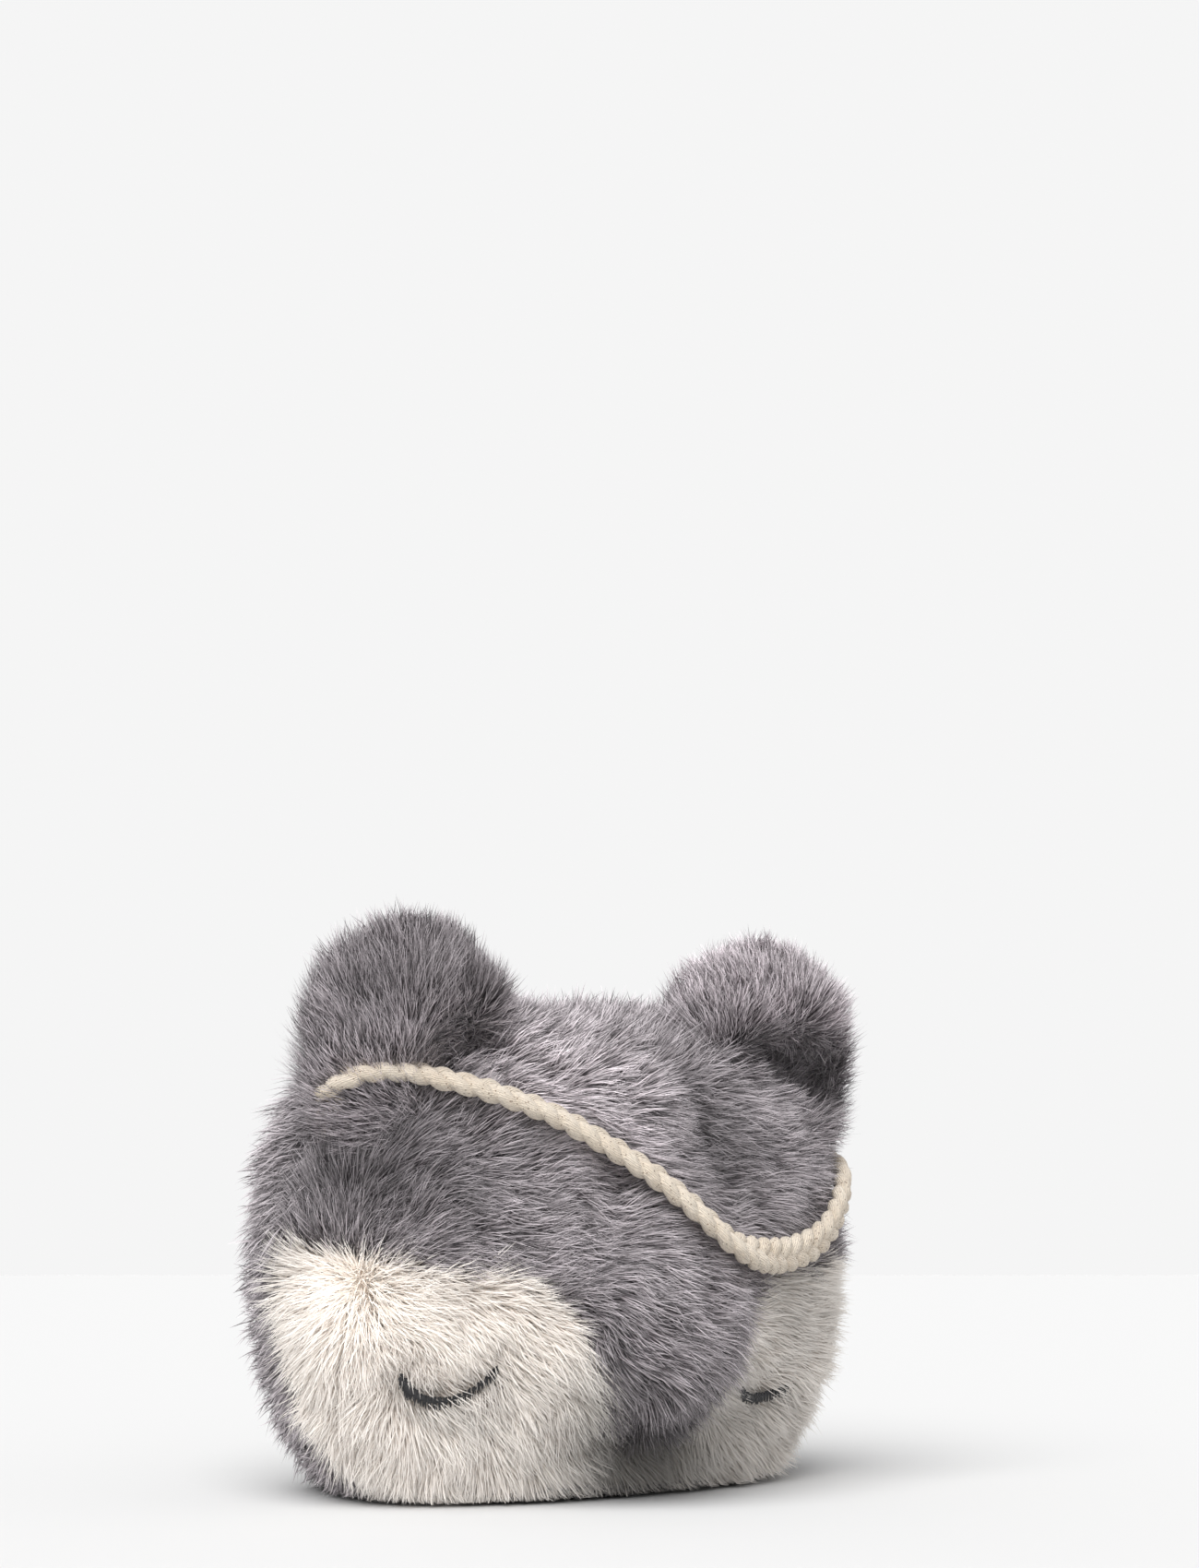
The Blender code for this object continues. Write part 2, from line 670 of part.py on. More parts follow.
def main():
    clear_scene()
    face_panels()
    side_panels()
    back_panels()
    crown_and_base()
    wadding()
    pouch()
    zip_rows()
    zip_stops()
    zip_slider()
    zip_pull()
    ears()
    lashes()
    strap()
    strap_anchors()
    centre_frame()


main()
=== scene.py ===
import math

import bmesh
import bpy
import numpy as np
from mathutils import Matrix, Vector


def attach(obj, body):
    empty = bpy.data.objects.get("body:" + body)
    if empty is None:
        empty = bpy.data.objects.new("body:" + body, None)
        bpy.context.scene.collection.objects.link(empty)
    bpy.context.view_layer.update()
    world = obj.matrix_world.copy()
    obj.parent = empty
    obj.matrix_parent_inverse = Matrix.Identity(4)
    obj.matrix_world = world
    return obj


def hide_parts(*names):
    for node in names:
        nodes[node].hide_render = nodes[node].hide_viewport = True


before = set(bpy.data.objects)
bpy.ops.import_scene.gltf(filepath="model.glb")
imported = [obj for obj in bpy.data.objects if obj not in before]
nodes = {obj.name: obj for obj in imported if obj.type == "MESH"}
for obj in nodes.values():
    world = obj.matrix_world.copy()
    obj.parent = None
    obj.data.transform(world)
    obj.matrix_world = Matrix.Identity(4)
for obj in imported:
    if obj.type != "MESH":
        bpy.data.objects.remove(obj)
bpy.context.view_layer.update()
print("frame loaded")


# Small helpers for meshes and objects.


def meshFrom(built, name):
    data = bpy.data.meshes.new(name)
    built.to_mesh(data)
    built.free()
    return data


def addObject(name, data):
    made = bpy.data.objects.new(name, data)
    bpy.context.scene.collection.objects.link(made)
    return made


def makePiece(name, built, material):
    data = meshFrom(built, name)
    data.shade_smooth()
    data.materials.append(material)
    made = addObject(name, data)
    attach(made, "head")
    return made


# Small helpers for node trees.


def addNode(tree, kind, inputs=None, **settings):
    # inputs maps a socket's name or number to a value or to another socket
    node = tree.nodes.new(kind)
    for key, value in settings.items():
        setattr(node, key, value)
    for key, value in (inputs or {}).items():
        socket = node.inputs[key]
        if isinstance(value, bpy.types.NodeSocket):
            tree.links.new(value, socket)
        else:
            socket.default_value = value
    return node


def plainMath(tree, operation, a, b=0.0, c=0.0):
    return addNode(tree, "ShaderNodeMath", {0: a, 1: b, 2: c}, operation=operation).outputs[0]


def vectorMath(tree, operation, a, b=None, scale=None):
    inputs = {0: a}
    if b is not None:
        inputs[1] = b
    if scale is not None:
        inputs["Scale"] = scale
    node = addNode(tree, "ShaderNodeVectorMath", inputs, operation=operation)
    return node.outputs["Value" if operation == "DOT_PRODUCT" else "Vector"]


def mapRange(tree, value, low, high, toLow=0.0, toHigh=1.0):
    inputs = {"Value": value, "From Min": low, "From Max": high, "To Min": toLow, "To Max": toHigh}
    return addNode(tree, "ShaderNodeMapRange", inputs).outputs[0]


def noiseOf(tree, where, scale, detail, output=0):
    inputs = {"Vector": where, "Scale": scale, "Detail": detail}
    return addNode(tree, "ShaderNodeTexNoise", inputs).outputs[output]


def mixColours(tree, share, first, second, blend="MIX"):
    inputs = {0: share, 6: first, 7: second}
    return addNode(tree, "ShaderNodeMix", inputs, data_type="RGBA", blend_type=blend).outputs[2]


# Camera first, because the cord's check reads it.

cameraSetup = {
    "azimuth": -29.3,  # degrees round from the front, towards the viewer's left
    "distance": 0.70,
    "target": (0.0, 0.00904, 0.085),
    "sensor": 36.0,
    "lens": 48.9,
    "shift": (0.0262, 0.2818),
    "clip": (0.01, 20.0),
}


def makeCamera(setup):
    turn = math.radians(setup["azimuth"])
    away = Vector((math.sin(turn), -math.cos(turn), 0.0))
    data = bpy.data.cameras.new("studioCamera")
    data.sensor_width = setup["sensor"]
    data.lens = setup["lens"]
    data.shift_x, data.shift_y = setup["shift"]
    data.clip_start, data.clip_end = setup["clip"]
    made = addObject("studioCamera", data)
    made.location = Vector(setup["target"]) + away * setup["distance"]
    made.rotation_euler = (-away).to_track_quat("-Z", "Y").to_euler()
    bpy.context.scene.camera = made


makeCamera(cameraSetup)
print("camera placed")


# The head's outer surface, as in the part's source: the mean surface of the pile's tips.

headShape = {
    "centre": Vector((0.0, 0.009041, 0.0754)),
    "halfWidth": 0.103,
    "depths": (0.051, 0.057),  # towards the face, towards the back
    "heights": (0.085, 0.098),  # above the centre, below it
    "roundness": (2.36, 3.4),  # at the face, at the back
    "changeover": 0.7,  # where the back's roundness is reached
    "swellings": (
        # place, how far it rises, its spread
        ((0, -0.051, 0.054), 0.026, 0.025),
        ((0, -0.041, 0.104), 0.004, 0.036),
        ((0, 0.004, 0.160), -0.004, 0.026),
    ),
}


def headRadius(direction):
    backShare = min(max(direction.y / headShape["changeover"], 0.0), 1.0)
    backShare = backShare * backShare * (3 - 2 * backShare)
    front, back = headShape["roundness"]
    power = front + (back - front) * backShare
    depth = headShape["depths"][direction.y > 0]
    height = headShape["heights"][direction.z <= 0]
    total = (
        abs(direction.x / headShape["halfWidth"]) ** power
        + abs(direction.y / depth) ** power
        + abs(direction.z / height) ** power
    )
    radius = total ** (-1 / power)
    spot = headShape["centre"] + direction * radius
    for centre, rise, spread in headShape["swellings"]:
        radius += rise * math.exp(-(spot - Vector(centre)).length_squared / (2 * spread**2))
    return radius


def headPoint(turn, lift, depth=0.0):  # turn and lift in degrees
    turn, lift = math.radians(turn), math.radians(lift)
    level = math.cos(lift)
    direction = Vector((math.sin(turn) * level, -math.cos(turn) * level, math.sin(lift)))
    return headShape["centre"] + direction * (headRadius(direction) - depth)


# The strap: a flat plait of three cotton strands, along the route that its solid has.

strapSetup = {
    "route": (
        (-0.0985, -0.0105, 0.1175),
        (-0.0990, -0.0180, 0.1195),
        (-0.0962, -0.0262, 0.1240),
        (-0.0895, -0.0308, 0.1287),
        (-0.0820, -0.0325, 0.1310),
        (-0.0711, -0.0347, 0.1311),
        (-0.0617, -0.0399, 0.1288),
        (-0.0518, -0.0448, 0.1261),
        (-0.0416, -0.0492, 0.1225),
        (-0.0312, -0.0530, 0.1182),
        (-0.0183, -0.0581, 0.1107),
        (-0.0054, -0.0634, 0.1020),
        (0.0051, -0.0675, 0.0936),
        (0.0136, -0.0698, 0.0861),
        (0.0225, -0.0698, 0.0795),
        (0.0345, -0.0646, 0.0762),
        (0.0517, -0.0550, 0.0758),
        (0.0681, -0.0476, 0.0793),
        (0.0800, -0.0419, 0.0862),
        (0.0902, -0.0338, 0.0965),
        (0.0977, -0.0230, 0.1055),
        (0.1003, -0.0150, 0.1112),
        (0.0985, -0.0105, 0.1175),
    ),
    "shift": Vector((0.0, 0.009041, 0.0)),
    "width": 0.0116,
    "strandRadius": 0.00235,
    "oval": (1.12, 0.95),  # a strand's breadth and height against its radius
    "lobes": (0.09, 0.30, 0.05),  # two yarns in a strand: how deep, how fast they turn, how much thinner
    "swing": 0.0033,  # how far a strand goes to either side
    "lift": 0.0008,  # how far it rises over the other two
    "pitch": 0.0215,  # one whole crossing pattern
    "step": 0.0009,
    "sides": 14,
    "textureLength": 100,  # how often the texture repeats in a metre
    "onEdge": (0.68, 0.13),  # it stands on edge up to here, and lies flat this much further on
    "edgeFacing": (0.25, -0.35, 1.0),
    "edgeShare": 0.85,
    "tuckIn": (0.0190, 0.0080),  # how far the sewn ends go under the pile
    "tuckLength": 0.028,
}


def smoothRoute(points, shift, step, cuts=24):
    # a smooth curve through the points, cut into equal steps
    points = [Vector(spot) + shift for spot in points]
    ends = [2 * points[0] - points[1]] + points + [2 * points[-1] - points[-2]]
    fine = []
    for a, b, c, d in zip(ends, ends[1:], ends[2:], ends[3:]):
        for index in range(cuts):
            t = index / cuts
            square = (2 * a - 5 * b + 4 * c - d) * t**2
            fine.append(0.5 * (2 * b + (c - a) * t + square + (3 * b - a - 3 * c + d) * t**3))
    fine.append(points[-1])
    lengths = [0.0]
    for a, b in zip(fine, fine[1:]):
        lengths.append(lengths[-1] + (b - a).length)
    count = round(lengths[-1] / step)
    placed, index = [], 0
    for number in range(count + 1):
        wanted = lengths[-1] * number / count
        while index < len(fine) - 2 and lengths[index + 1] < wanted:
            index += 1
        share = (wanted - lengths[index]) / (lengths[index + 1] - lengths[index])
        placed.append(fine[index].lerp(fine[index + 1], share))
    return placed


def tuckedLine(line, setup):
    # the sewn ends curve in under the pile
    placed = []
    for index, spot in enumerate(line):
        inward = (headShape["centre"] - spot).normalized()
        depth = 0.0
        for steps, reach in zip((index, len(line) - 1 - index), setup["tuckIn"]):
            share = max(0.0, 1 - steps * setup["step"] / setup["tuckLength"])
            depth += reach * share * share * (3 - 2 * share)
        placed.append(spot + inward * depth)
    return placed


def strapFrames(line, setup):
    # the broad side lies on the head; near the left end it stands on edge
    frames = []
    until, fade = setup["onEdge"]
    facing = Vector(setup["edgeFacing"]).normalized()
    for index, spot in enumerate(line):
        ahead = line[min(index + 1, len(line) - 1)] - line[max(index - 1, 0)]
        ahead.normalize()
        share = index / (len(line) - 1)
        outward = (spot - headShape["centre"]).normalized()
        upright = min(max((until - share) / fade, 0.0), 1.0)
        outward = outward.lerp(facing, upright * setup["edgeShare"])
        across = ahead.cross(outward).normalized()
        frames.append((ahead, across, across.cross(ahead).normalized()))
    return frames


def strandCentres(line, frames, setup, number):
    centres = []
    for index, (spot, (ahead, across, out)) in enumerate(zip(line, frames)):
        phase = 2 * math.pi * (index * setup["step"] / setup["pitch"] + number / 3)
        aside = across * setup["swing"] * math.sin(phase)
        centres.append(spot + aside + out * setup["lift"] * math.sin(2 * phase))
    return centres


def strandMesh(line, frames, setup, number):
    # a grid rolled into a tube, its rings following one strand of the plait
    count, sides = len(line) - 1, setup["sides"]
    centres = strandCentres(line, frames, setup, number)
    deep, turning, thinner = setup["lobes"]
    broad, high = setup["oval"]
    mesh = bmesh.new()
    uvLayer = mesh.loops.layers.uv.new("UVMap")
    bmesh.ops.create_grid(mesh, x_segments=count, y_segments=sides, size=0.5, calc_uvs=True)
    for vert in mesh.verts:
        index = round((vert.co.x + 0.5) * count)
        angle = 2 * math.pi * (vert.co.y + 0.5)
        before, after = centres[max(index - 1, 0)], centres[min(index + 1, count)]
        ahead = (after - before).normalized()
        across = ahead.cross(frames[index][2]).normalized()
        out = across.cross(ahead)
        lobes = 1 + deep * abs(math.cos(2.0 * (angle - index * turning))) - thinner
        size = setup["strandRadius"] * lobes
        vert.co = centres[index] + (across * math.cos(angle) * broad + out * math.sin(angle) * high) * size
    for face in mesh.faces:
        for loop in face.loops:
            loop[uvLayer].uv.x *= count * setup["step"] * setup["textureLength"]
    bmesh.ops.remove_doubles(mesh, verts=mesh.verts[:], dist=1e-6)
    rims = [edge for edge in mesh.edges if edge.is_boundary]
    bmesh.ops.holes_fill(mesh, edges=rims, sides=0)
    bmesh.ops.recalc_face_normals(mesh, faces=mesh.faces[:])
    return mesh


def makeStrap(setup, material):
    line = tuckedLine(smoothRoute(setup["route"], setup["shift"], setup["step"]), setup)
    frames = strapFrames(line, setup)
    whole = bmesh.new()
    whole.loops.layers.uv.new("UVMap")
    for number in range(3):
        data = meshFrom(strandMesh(line, frames, setup, number), "strand")
        whole.from_mesh(data)
        bpy.data.meshes.remove(data)
    braid = makePiece("strap_plait", whole, material)
    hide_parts("strap_braid", "strap_anchor_left", "strap_anchor_right")
    return line


# Materials. Shared effects are node groups that put out colours, masks and heights only.


def rgba(colour):
    return (*colour, 1.0)


def makeGroup(name, inputs, outputs):
    tree = bpy.data.node_groups.new(name, "ShaderNodeTree")
    for label, kind in inputs:
        tree.interface.new_socket(label, in_out="INPUT", socket_type=kind)
    for label, kind in outputs:
        tree.interface.new_socket(label, in_out="OUTPUT", socket_type=kind)
    return tree, tree.nodes.new("NodeGroupInput").outputs, tree.nodes.new("NodeGroupOutput").inputs


def buildPileGroup():
    # one strand's colour: dark at its root as painted shade deep in the pile, pale at its tip, and each strand
    # a little different, then scaled by the skin's painted shade and light
    colours = [(label, "NodeSocketColor") for label in ("Root", "Middle", "Tip")]
    inputs = colours + [("Spread", "NodeSocketFloat")]
    tree, given, made = makeGroup("pileToneAndPaintedShade", inputs, [("Color", "NodeSocketColor")])
    along, tone, shade = (
        addNode(tree, "ShaderNodeAttribute", attribute_name=name).outputs["Fac"]
        for name in ("along", "tone", "shade")
    )
    body = mixColours(tree, mapRange(tree, along, 0.05, 0.6), given["Root"], given["Middle"])
    strand = mixColours(tree, mapRange(tree, along, 0.5, 1.0), body, given["Tip"])
    spread = plainMath(tree, "MULTIPLY", plainMath(tree, "SUBTRACT", tone, 0.5), given["Spread"])
    gain = plainMath(tree, "MULTIPLY", plainMath(tree, "ADD", spread, 1.0), shade)
    tree.links.new(vectorMath(tree, "SCALE", strand, scale=gain), made["Color"])
    return tree


def buildGrainGroup():
    # a fine even grain, for thread, wadding, brass and moulded teeth
    numbers = ("Scale", "Detail", "Distortion", "Low", "High")
    inputs = [("Vector", "NodeSocketVector")] + [(label, "NodeSocketFloat") for label in numbers]
    outputs = [("Height", "NodeSocketFloat"), ("Tone", "NodeSocketFloat")]
    tree, given, made = makeGroup("fineGrain", inputs, outputs)
    shared = {label: given[label] for label in ("Vector", "Scale", "Detail", "Distortion")}
    grain = addNode(tree, "ShaderNodeTexNoise", shared).outputs[0]
    tree.links.new(grain, made["Height"])
    tree.links.new(mapRange(tree, grain, 0.3, 0.7, given["Low"], given["High"]), made["Tone"])
    return tree


def buildWovenGroup():
    inputs = [("Vector", "NodeSocketVector"), ("Threads", "NodeSocketFloat")]
    outputs = [("Height", "NodeSocketFloat"), ("PaintedShade", "NodeSocketFloat")]
    tree, given, made = makeGroup("plainWeave", inputs, outputs)
    parts = addNode(tree, "ShaderNodeSeparateXYZ", {0: given["Vector"]}).outputs
    level, deep, upright = (
        plainMath(tree, "SINE", plainMath(tree, "MULTIPLY", part, given["Threads"])) for part in parts
    )
    height = plainMath(tree, "MULTIPLY", plainMath(tree, "ADD", level, deep), upright)
    tree.links.new(height, made["Height"])
    # painted shade between the threads: the colour is darker where the weave is low
    tree.links.new(mapRange(tree, height, -1.5, 1.5, 0.8, 1.1), made["PaintedShade"])
    return tree


pileGroup, grainGroup, wovenGroup = buildPileGroup(), buildGrainGroup(), buildWovenGroup()


def newMaterial(name, values):
    made = bpy.data.materials.new(name)
    made.use_nodes = True
    shader = made.node_tree.nodes["Principled BSDF"]
    for label, value in values.items():
        shader.inputs[label].default_value = value
    return made, made.node_tree, shader


def objectPlace(tree):
    return addNode(tree, "ShaderNodeTexCoord").outputs["Object"]


def addBump(tree, shader, height, strength, distance):
    bump = addNode(tree, "ShaderNodeBump", {"Height": height, "Strength": strength, "Distance": distance})
    tree.links.new(bump.outputs[0], shader.inputs["Normal"])


pileColours = {
    # name, root, middle and tip of a strand, and how much strands differ; the darker root colour is painted
    # shade deep in the pile
    "grey": ("greyPlush", (0.028, 0.022, 0.024), (0.172, 0.149, 0.159), (0.575, 0.530, 0.553), 1.60),
    "cream": ("creamPlush", (0.775, 0.660, 0.570), (0.920, 0.848, 0.780), (0.975, 0.935, 0.890), 0.16),
    "dark": ("darkGreyPlush", (0.018, 0.017, 0.019), (0.085, 0.080, 0.086), (0.280, 0.270, 0.280), 0.8),
}


def pileMaterial(name, root, middle, tip, spread):
    values = {"Roughness": 0.62, "Specular IOR Level": 0.25, "Sheen Weight": 0.25, "Sheen Roughness": 0.5}
    made, tree, shader = newMaterial(name, values)
    inputs = {"Root": rgba(root), "Middle": rgba(middle), "Tip": rgba(tip), "Spread": spread}
    group = addNode(tree, "ShaderNodeGroup", inputs, node_tree=pileGroup)
    tree.links.new(group.outputs["Color"], shader.inputs["Base Color"])
    return made


greyPile, creamPile, darkPile = (pileMaterial(*pileColours[word]) for word in ("grey", "cream", "dark"))
print("pile materials made")


# The pile: curved strands grown from a skin by Geometry Nodes, then made plain mesh.

strandSetup = {
    "stations": (0.0, 0.36, 0.70, 1.0),  # where along a strand its cross edges are
    "widths": (1.0, 1.0, 0.72, 0.0),
    # each shape: the angle at the root, the angle at the tip, the sideways bow
    "shapes": ((64, 12, 0.35), (52, 4, -0.5), (70, 24, 0.2), (46, 14, -0.25), (58, -6, 0.6)),
    "bow": 13,  # the bow is in strand widths
    "bends": 30,  # short straight lengths that make up its curve
}

pileInputs = {
    # what a pile may set for itself, and what it has otherwise
    "Density": 2.0e6,
    "Length": 0.014,
    "Width": 0.00038,
    "Lay": 0.0,  # radians, added to every strand's tilt
    "Stray": 0.25,
    "Clump": 0.55,
    "Tuft": 0.0045,
    "Wave": 0.0035,
    "Swirl": 2.4,  # radians, for patches that turn aside
    "Mottle": 0.26,
    "Seed": 1.0,
}

pileShape = {
    "mottleScale": 240.0,
    "swirlScale": 75.0,
    "lengthScale": 110.0,
    "waveScale": 70.0,
    "wander": (1.2, 1.0, 1.0),  # how far a strand turns each way, in radians at full stray
    "partedStray": 0.8,  # more stray and more lift where the pile parts
    "partedLift": 0.35,
    # partedPaleness lifts the painted root shade where the pile parts
    "partedPaleness": 0.85,
    "byTuft": (0.78, 1.18),
    "byStrand": (0.62, 1.12),
    "bend": 1.4,
    "tufts": ((1.0, 0.6), (2.4, 0.4)),  # size of the tufts, and how much the tips draw to them
    "flatten": 0.75,
    "floor": (0.0002, 0.0008),  # lowest height of a root, and how much more at the tip
    "fill": 0.7,
}


def bladeMesh(rootAngle, tipAngle, bow):
    # a strip one unit long and one unit wide, bent over from its root
    stations, widths, bends = strandSetup["stations"], strandSetup["widths"], strandSetup["bends"]
    spots = [(0.0, 0.0)]
    for index in range(bends):
        angle = math.radians(rootAngle + (tipAngle - rootAngle) * index / (bends - 1))
        x, z = spots[-1]
        spots.append((x + math.cos(angle) / bends, z + math.sin(angle) / bends))
    mesh = bmesh.new()
    alongLayer = mesh.verts.layers.float.new("along")
    bmesh.ops.create_grid(mesh, x_segments=len(stations) - 1, y_segments=1, size=0.5)
    for vert in mesh.verts:
        number = round((vert.co.x + 0.5) * (len(stations) - 1))
        share = stations[number]
        x, z = spots[round(share * bends)]
        side = vert.co.y * widths[number]
        vert.co = Vector((x, side + bow * strandSetup["bow"] * share * share, z))
        vert[alongLayer] = share
    bmesh.ops.remove_doubles(mesh, verts=mesh.verts[:], dist=1e-5)
    return mesh


def bladeCollection():
    held = bpy.data.collections.new("strandShapes")
    for number, shape in enumerate(strandSetup["shapes"]):
        name = f"strandShape{number}"
        data = meshFrom(bladeMesh(*shape), name)
        data.shade_smooth()
        held.objects.link(bpy.data.objects.new(name, data))
    return held


def namedValue(tree, name, kind="FLOAT"):
    node = addNode(tree, "GeometryNodeInputNamedAttribute", {"Name": name}, data_type=kind)
    return node.outputs["Attribute"]


def storeValue(tree, geometry, name, value, kind="FLOAT"):
    inputs = {"Geometry": geometry, "Name": name}
    node = addNode(tree, "GeometryNodeStoreNamedAttribute", inputs, data_type=kind, domain="POINT")
    tree.links.new(value, node.inputs["Value"])
    return node.outputs["Geometry"]


def randomValue(tree, seed, kind="FLOAT"):
    return addNode(tree, "FunctionNodeRandomValue", {"Seed": seed}, data_type=kind)


def scatterRoots(tree, given, position):
    # the roots, each with its place, its way out, its tone, and its shade: a random mottle times the skin's
    # painted shade and light
    seed = addNode(tree, "FunctionNodeFloatToInt", {0: given["Seed"]}).outputs[0]
    thick = plainMath(tree, "MULTIPLY", given["Density"], namedValue(tree, "thick"))
    inputs = {"Mesh": given["Geometry"], "Density": thick, "Seed": seed}
    scattered = addNode(tree, "GeometryNodeDistributePointsOnFaces", inputs, distribute_method="RANDOM")
    points = scattered.outputs["Points"]
    points = storeValue(tree, points, "rootNormal", scattered.outputs["Normal"], "FLOAT_VECTOR")
    points = storeValue(tree, points, "rootSpot", position, "FLOAT_VECTOR")
    points = storeValue(tree, points, "tone", randomValue(tree, seed).outputs[1])
    mottle = noiseOf(tree, position, pileShape["mottleScale"], 2.0)
    mottle = mapRange(tree, mottle, 0.32, 0.68, 1.0, -1.0)
    mottle = plainMath(tree, "MULTIPLY_ADD", mottle, given["Mottle"], 1.0)
    return storeValue(tree, points, "shade", plainMath(tree, "MULTIPLY", mottle, namedValue(tree, "shade")))


def turnStrands(tree, given, position, parted):
    # lie along the flow, with each strand turned and tilted a little differently
    outward, flow = (namedValue(tree, name, "FLOAT_VECTOR") for name in ("rootNormal", "flow"))
    upright = addNode(tree, "FunctionNodeAlignRotationToVector", {"Vector": outward}, axis="Z").outputs[0]
    inputs = {"Rotation": upright, "Vector": flow}
    flowing = addNode(tree, "FunctionNodeAlignRotationToVector", inputs, axis="X", pivot_axis="Z").outputs[0]
    wander = randomValue(tree, plainMath(tree, "ADD", given["Seed"], 31.0), "FLOAT_VECTOR")
    wander.inputs[0].default_value = [-most for most in pileShape["wander"]]
    wander.inputs[1].default_value = pileShape["wander"]
    stray = plainMath(tree, "MULTIPLY_ADD", parted, pileShape["partedStray"], given["Stray"])
    turned = vectorMath(tree, "SCALE", wander.outputs[0], scale=stray)
    lift = plainMath(tree, "MULTIPLY_ADD", parted, pileShape["partedLift"], given["Lay"])
    tilt = addNode(tree, "ShaderNodeCombineXYZ", {"Y": plainMath(tree, "MULTIPLY", lift, -1.0)}).outputs[0]
    drift = plainMath(tree, "SUBTRACT", noiseOf(tree, position, pileShape["swirlScale"], 2.0), 0.5)
    swirl = plainMath(tree, "MULTIPLY", drift, given["Swirl"])
    aside = addNode(tree, "ShaderNodeCombineXYZ", {"Z": swirl}).outputs[0]
    euler = vectorMath(tree, "ADD", vectorMath(tree, "ADD", turned, tilt), aside)
    turning = addNode(tree, "FunctionNodeEulerToRotation", {0: euler}).outputs[0]
    inputs = {0: flowing, 1: turning}
    return addNode(tree, "FunctionNodeRotateRotation", inputs, rotation_space="LOCAL").outputs[0]


def strandSize(tree, given, position):
    # lengths vary by tuft and by strand
    patches = noiseOf(tree, position, pileShape["lengthScale"], 2.0)
    byTuft = mapRange(tree, patches, 0.3, 0.7, *pileShape["byTuft"])
    byStrand = randomValue(tree, plainMath(tree, "ADD", given["Seed"], 57.0))
    byStrand.inputs[2].default_value, byStrand.inputs[3].default_value = pileShape["byStrand"]
    length = plainMath(tree, "MULTIPLY", byTuft, byStrand.outputs[1])
    length = plainMath(tree, "MULTIPLY", length, given["Length"])
    length = plainMath(tree, "MULTIPLY", length, namedValue(tree, "reach"))
    return addNode(tree, "ShaderNodeCombineXYZ", {"X": length, "Y": given["Width"], "Z": length}).outputs[0]


def gatherTips(tree, given, strands, along):
    # tips draw together into tufts, and the whole pile waves a little
    root, outward = (namedValue(tree, name, "FLOAT_VECTOR") for name in ("rootSpot", "rootNormal"))
    shift = None
    for factor, share in pileShape["tufts"]:
        scale = plainMath(tree, "DIVIDE", 1.0, plainMath(tree, "MULTIPLY", given["Tuft"], factor))
        cells = addNode(tree, "ShaderNodeTexVoronoi", {"Vector": root, "Scale": scale, "Randomness": 1.0})
        towards = vectorMath(tree, "SUBTRACT", cells.outputs["Position"], root)
        towards = vectorMath(tree, "SCALE", towards, scale=plainMath(tree, "MULTIPLY", given["Clump"], share))
        shift = towards if shift is None else vectorMath(tree, "ADD", shift, towards)
    waves = noiseOf(tree, root, pileShape["waveScale"], 3.0, "Color")
    sway = vectorMath(tree, "SUBTRACT", waves, (0.5, 0.5, 0.5))
    sway = vectorMath(tree, "SCALE", sway, scale=plainMath(tree, "MULTIPLY", given["Wave"], 4.0))
    shift = vectorMath(tree, "ADD", shift, sway)
    rise = plainMath(tree, "MULTIPLY", vectorMath(tree, "DOT_PRODUCT", shift, outward), pileShape["flatten"])
    flat = vectorMath(tree, "SUBTRACT", shift, vectorMath(tree, "SCALE", outward, scale=rise))
    offset = vectorMath(tree, "SCALE", flat, scale=plainMath(tree, "POWER", along, pileShape["bend"]))
    return addNode(tree, "GeometryNodeSetPosition", {"Geometry": strands, "Offset": offset}).outputs[0]


def keepAboveGround(tree, strands, position, along):
    lowest, more = pileShape["floor"]
    parts = addNode(tree, "ShaderNodeSeparateXYZ", {0: position}).outputs
    height = plainMath(tree, "MAXIMUM", parts[2], plainMath(tree, "MULTIPLY_ADD", along, more, lowest))
    above = addNode(tree, "ShaderNodeCombineXYZ", {"X": parts[0], "Y": parts[1], "Z": height}).outputs[0]
    return addNode(tree, "GeometryNodeSetPosition", {"Geometry": strands, "Position": above}).outputs[0]


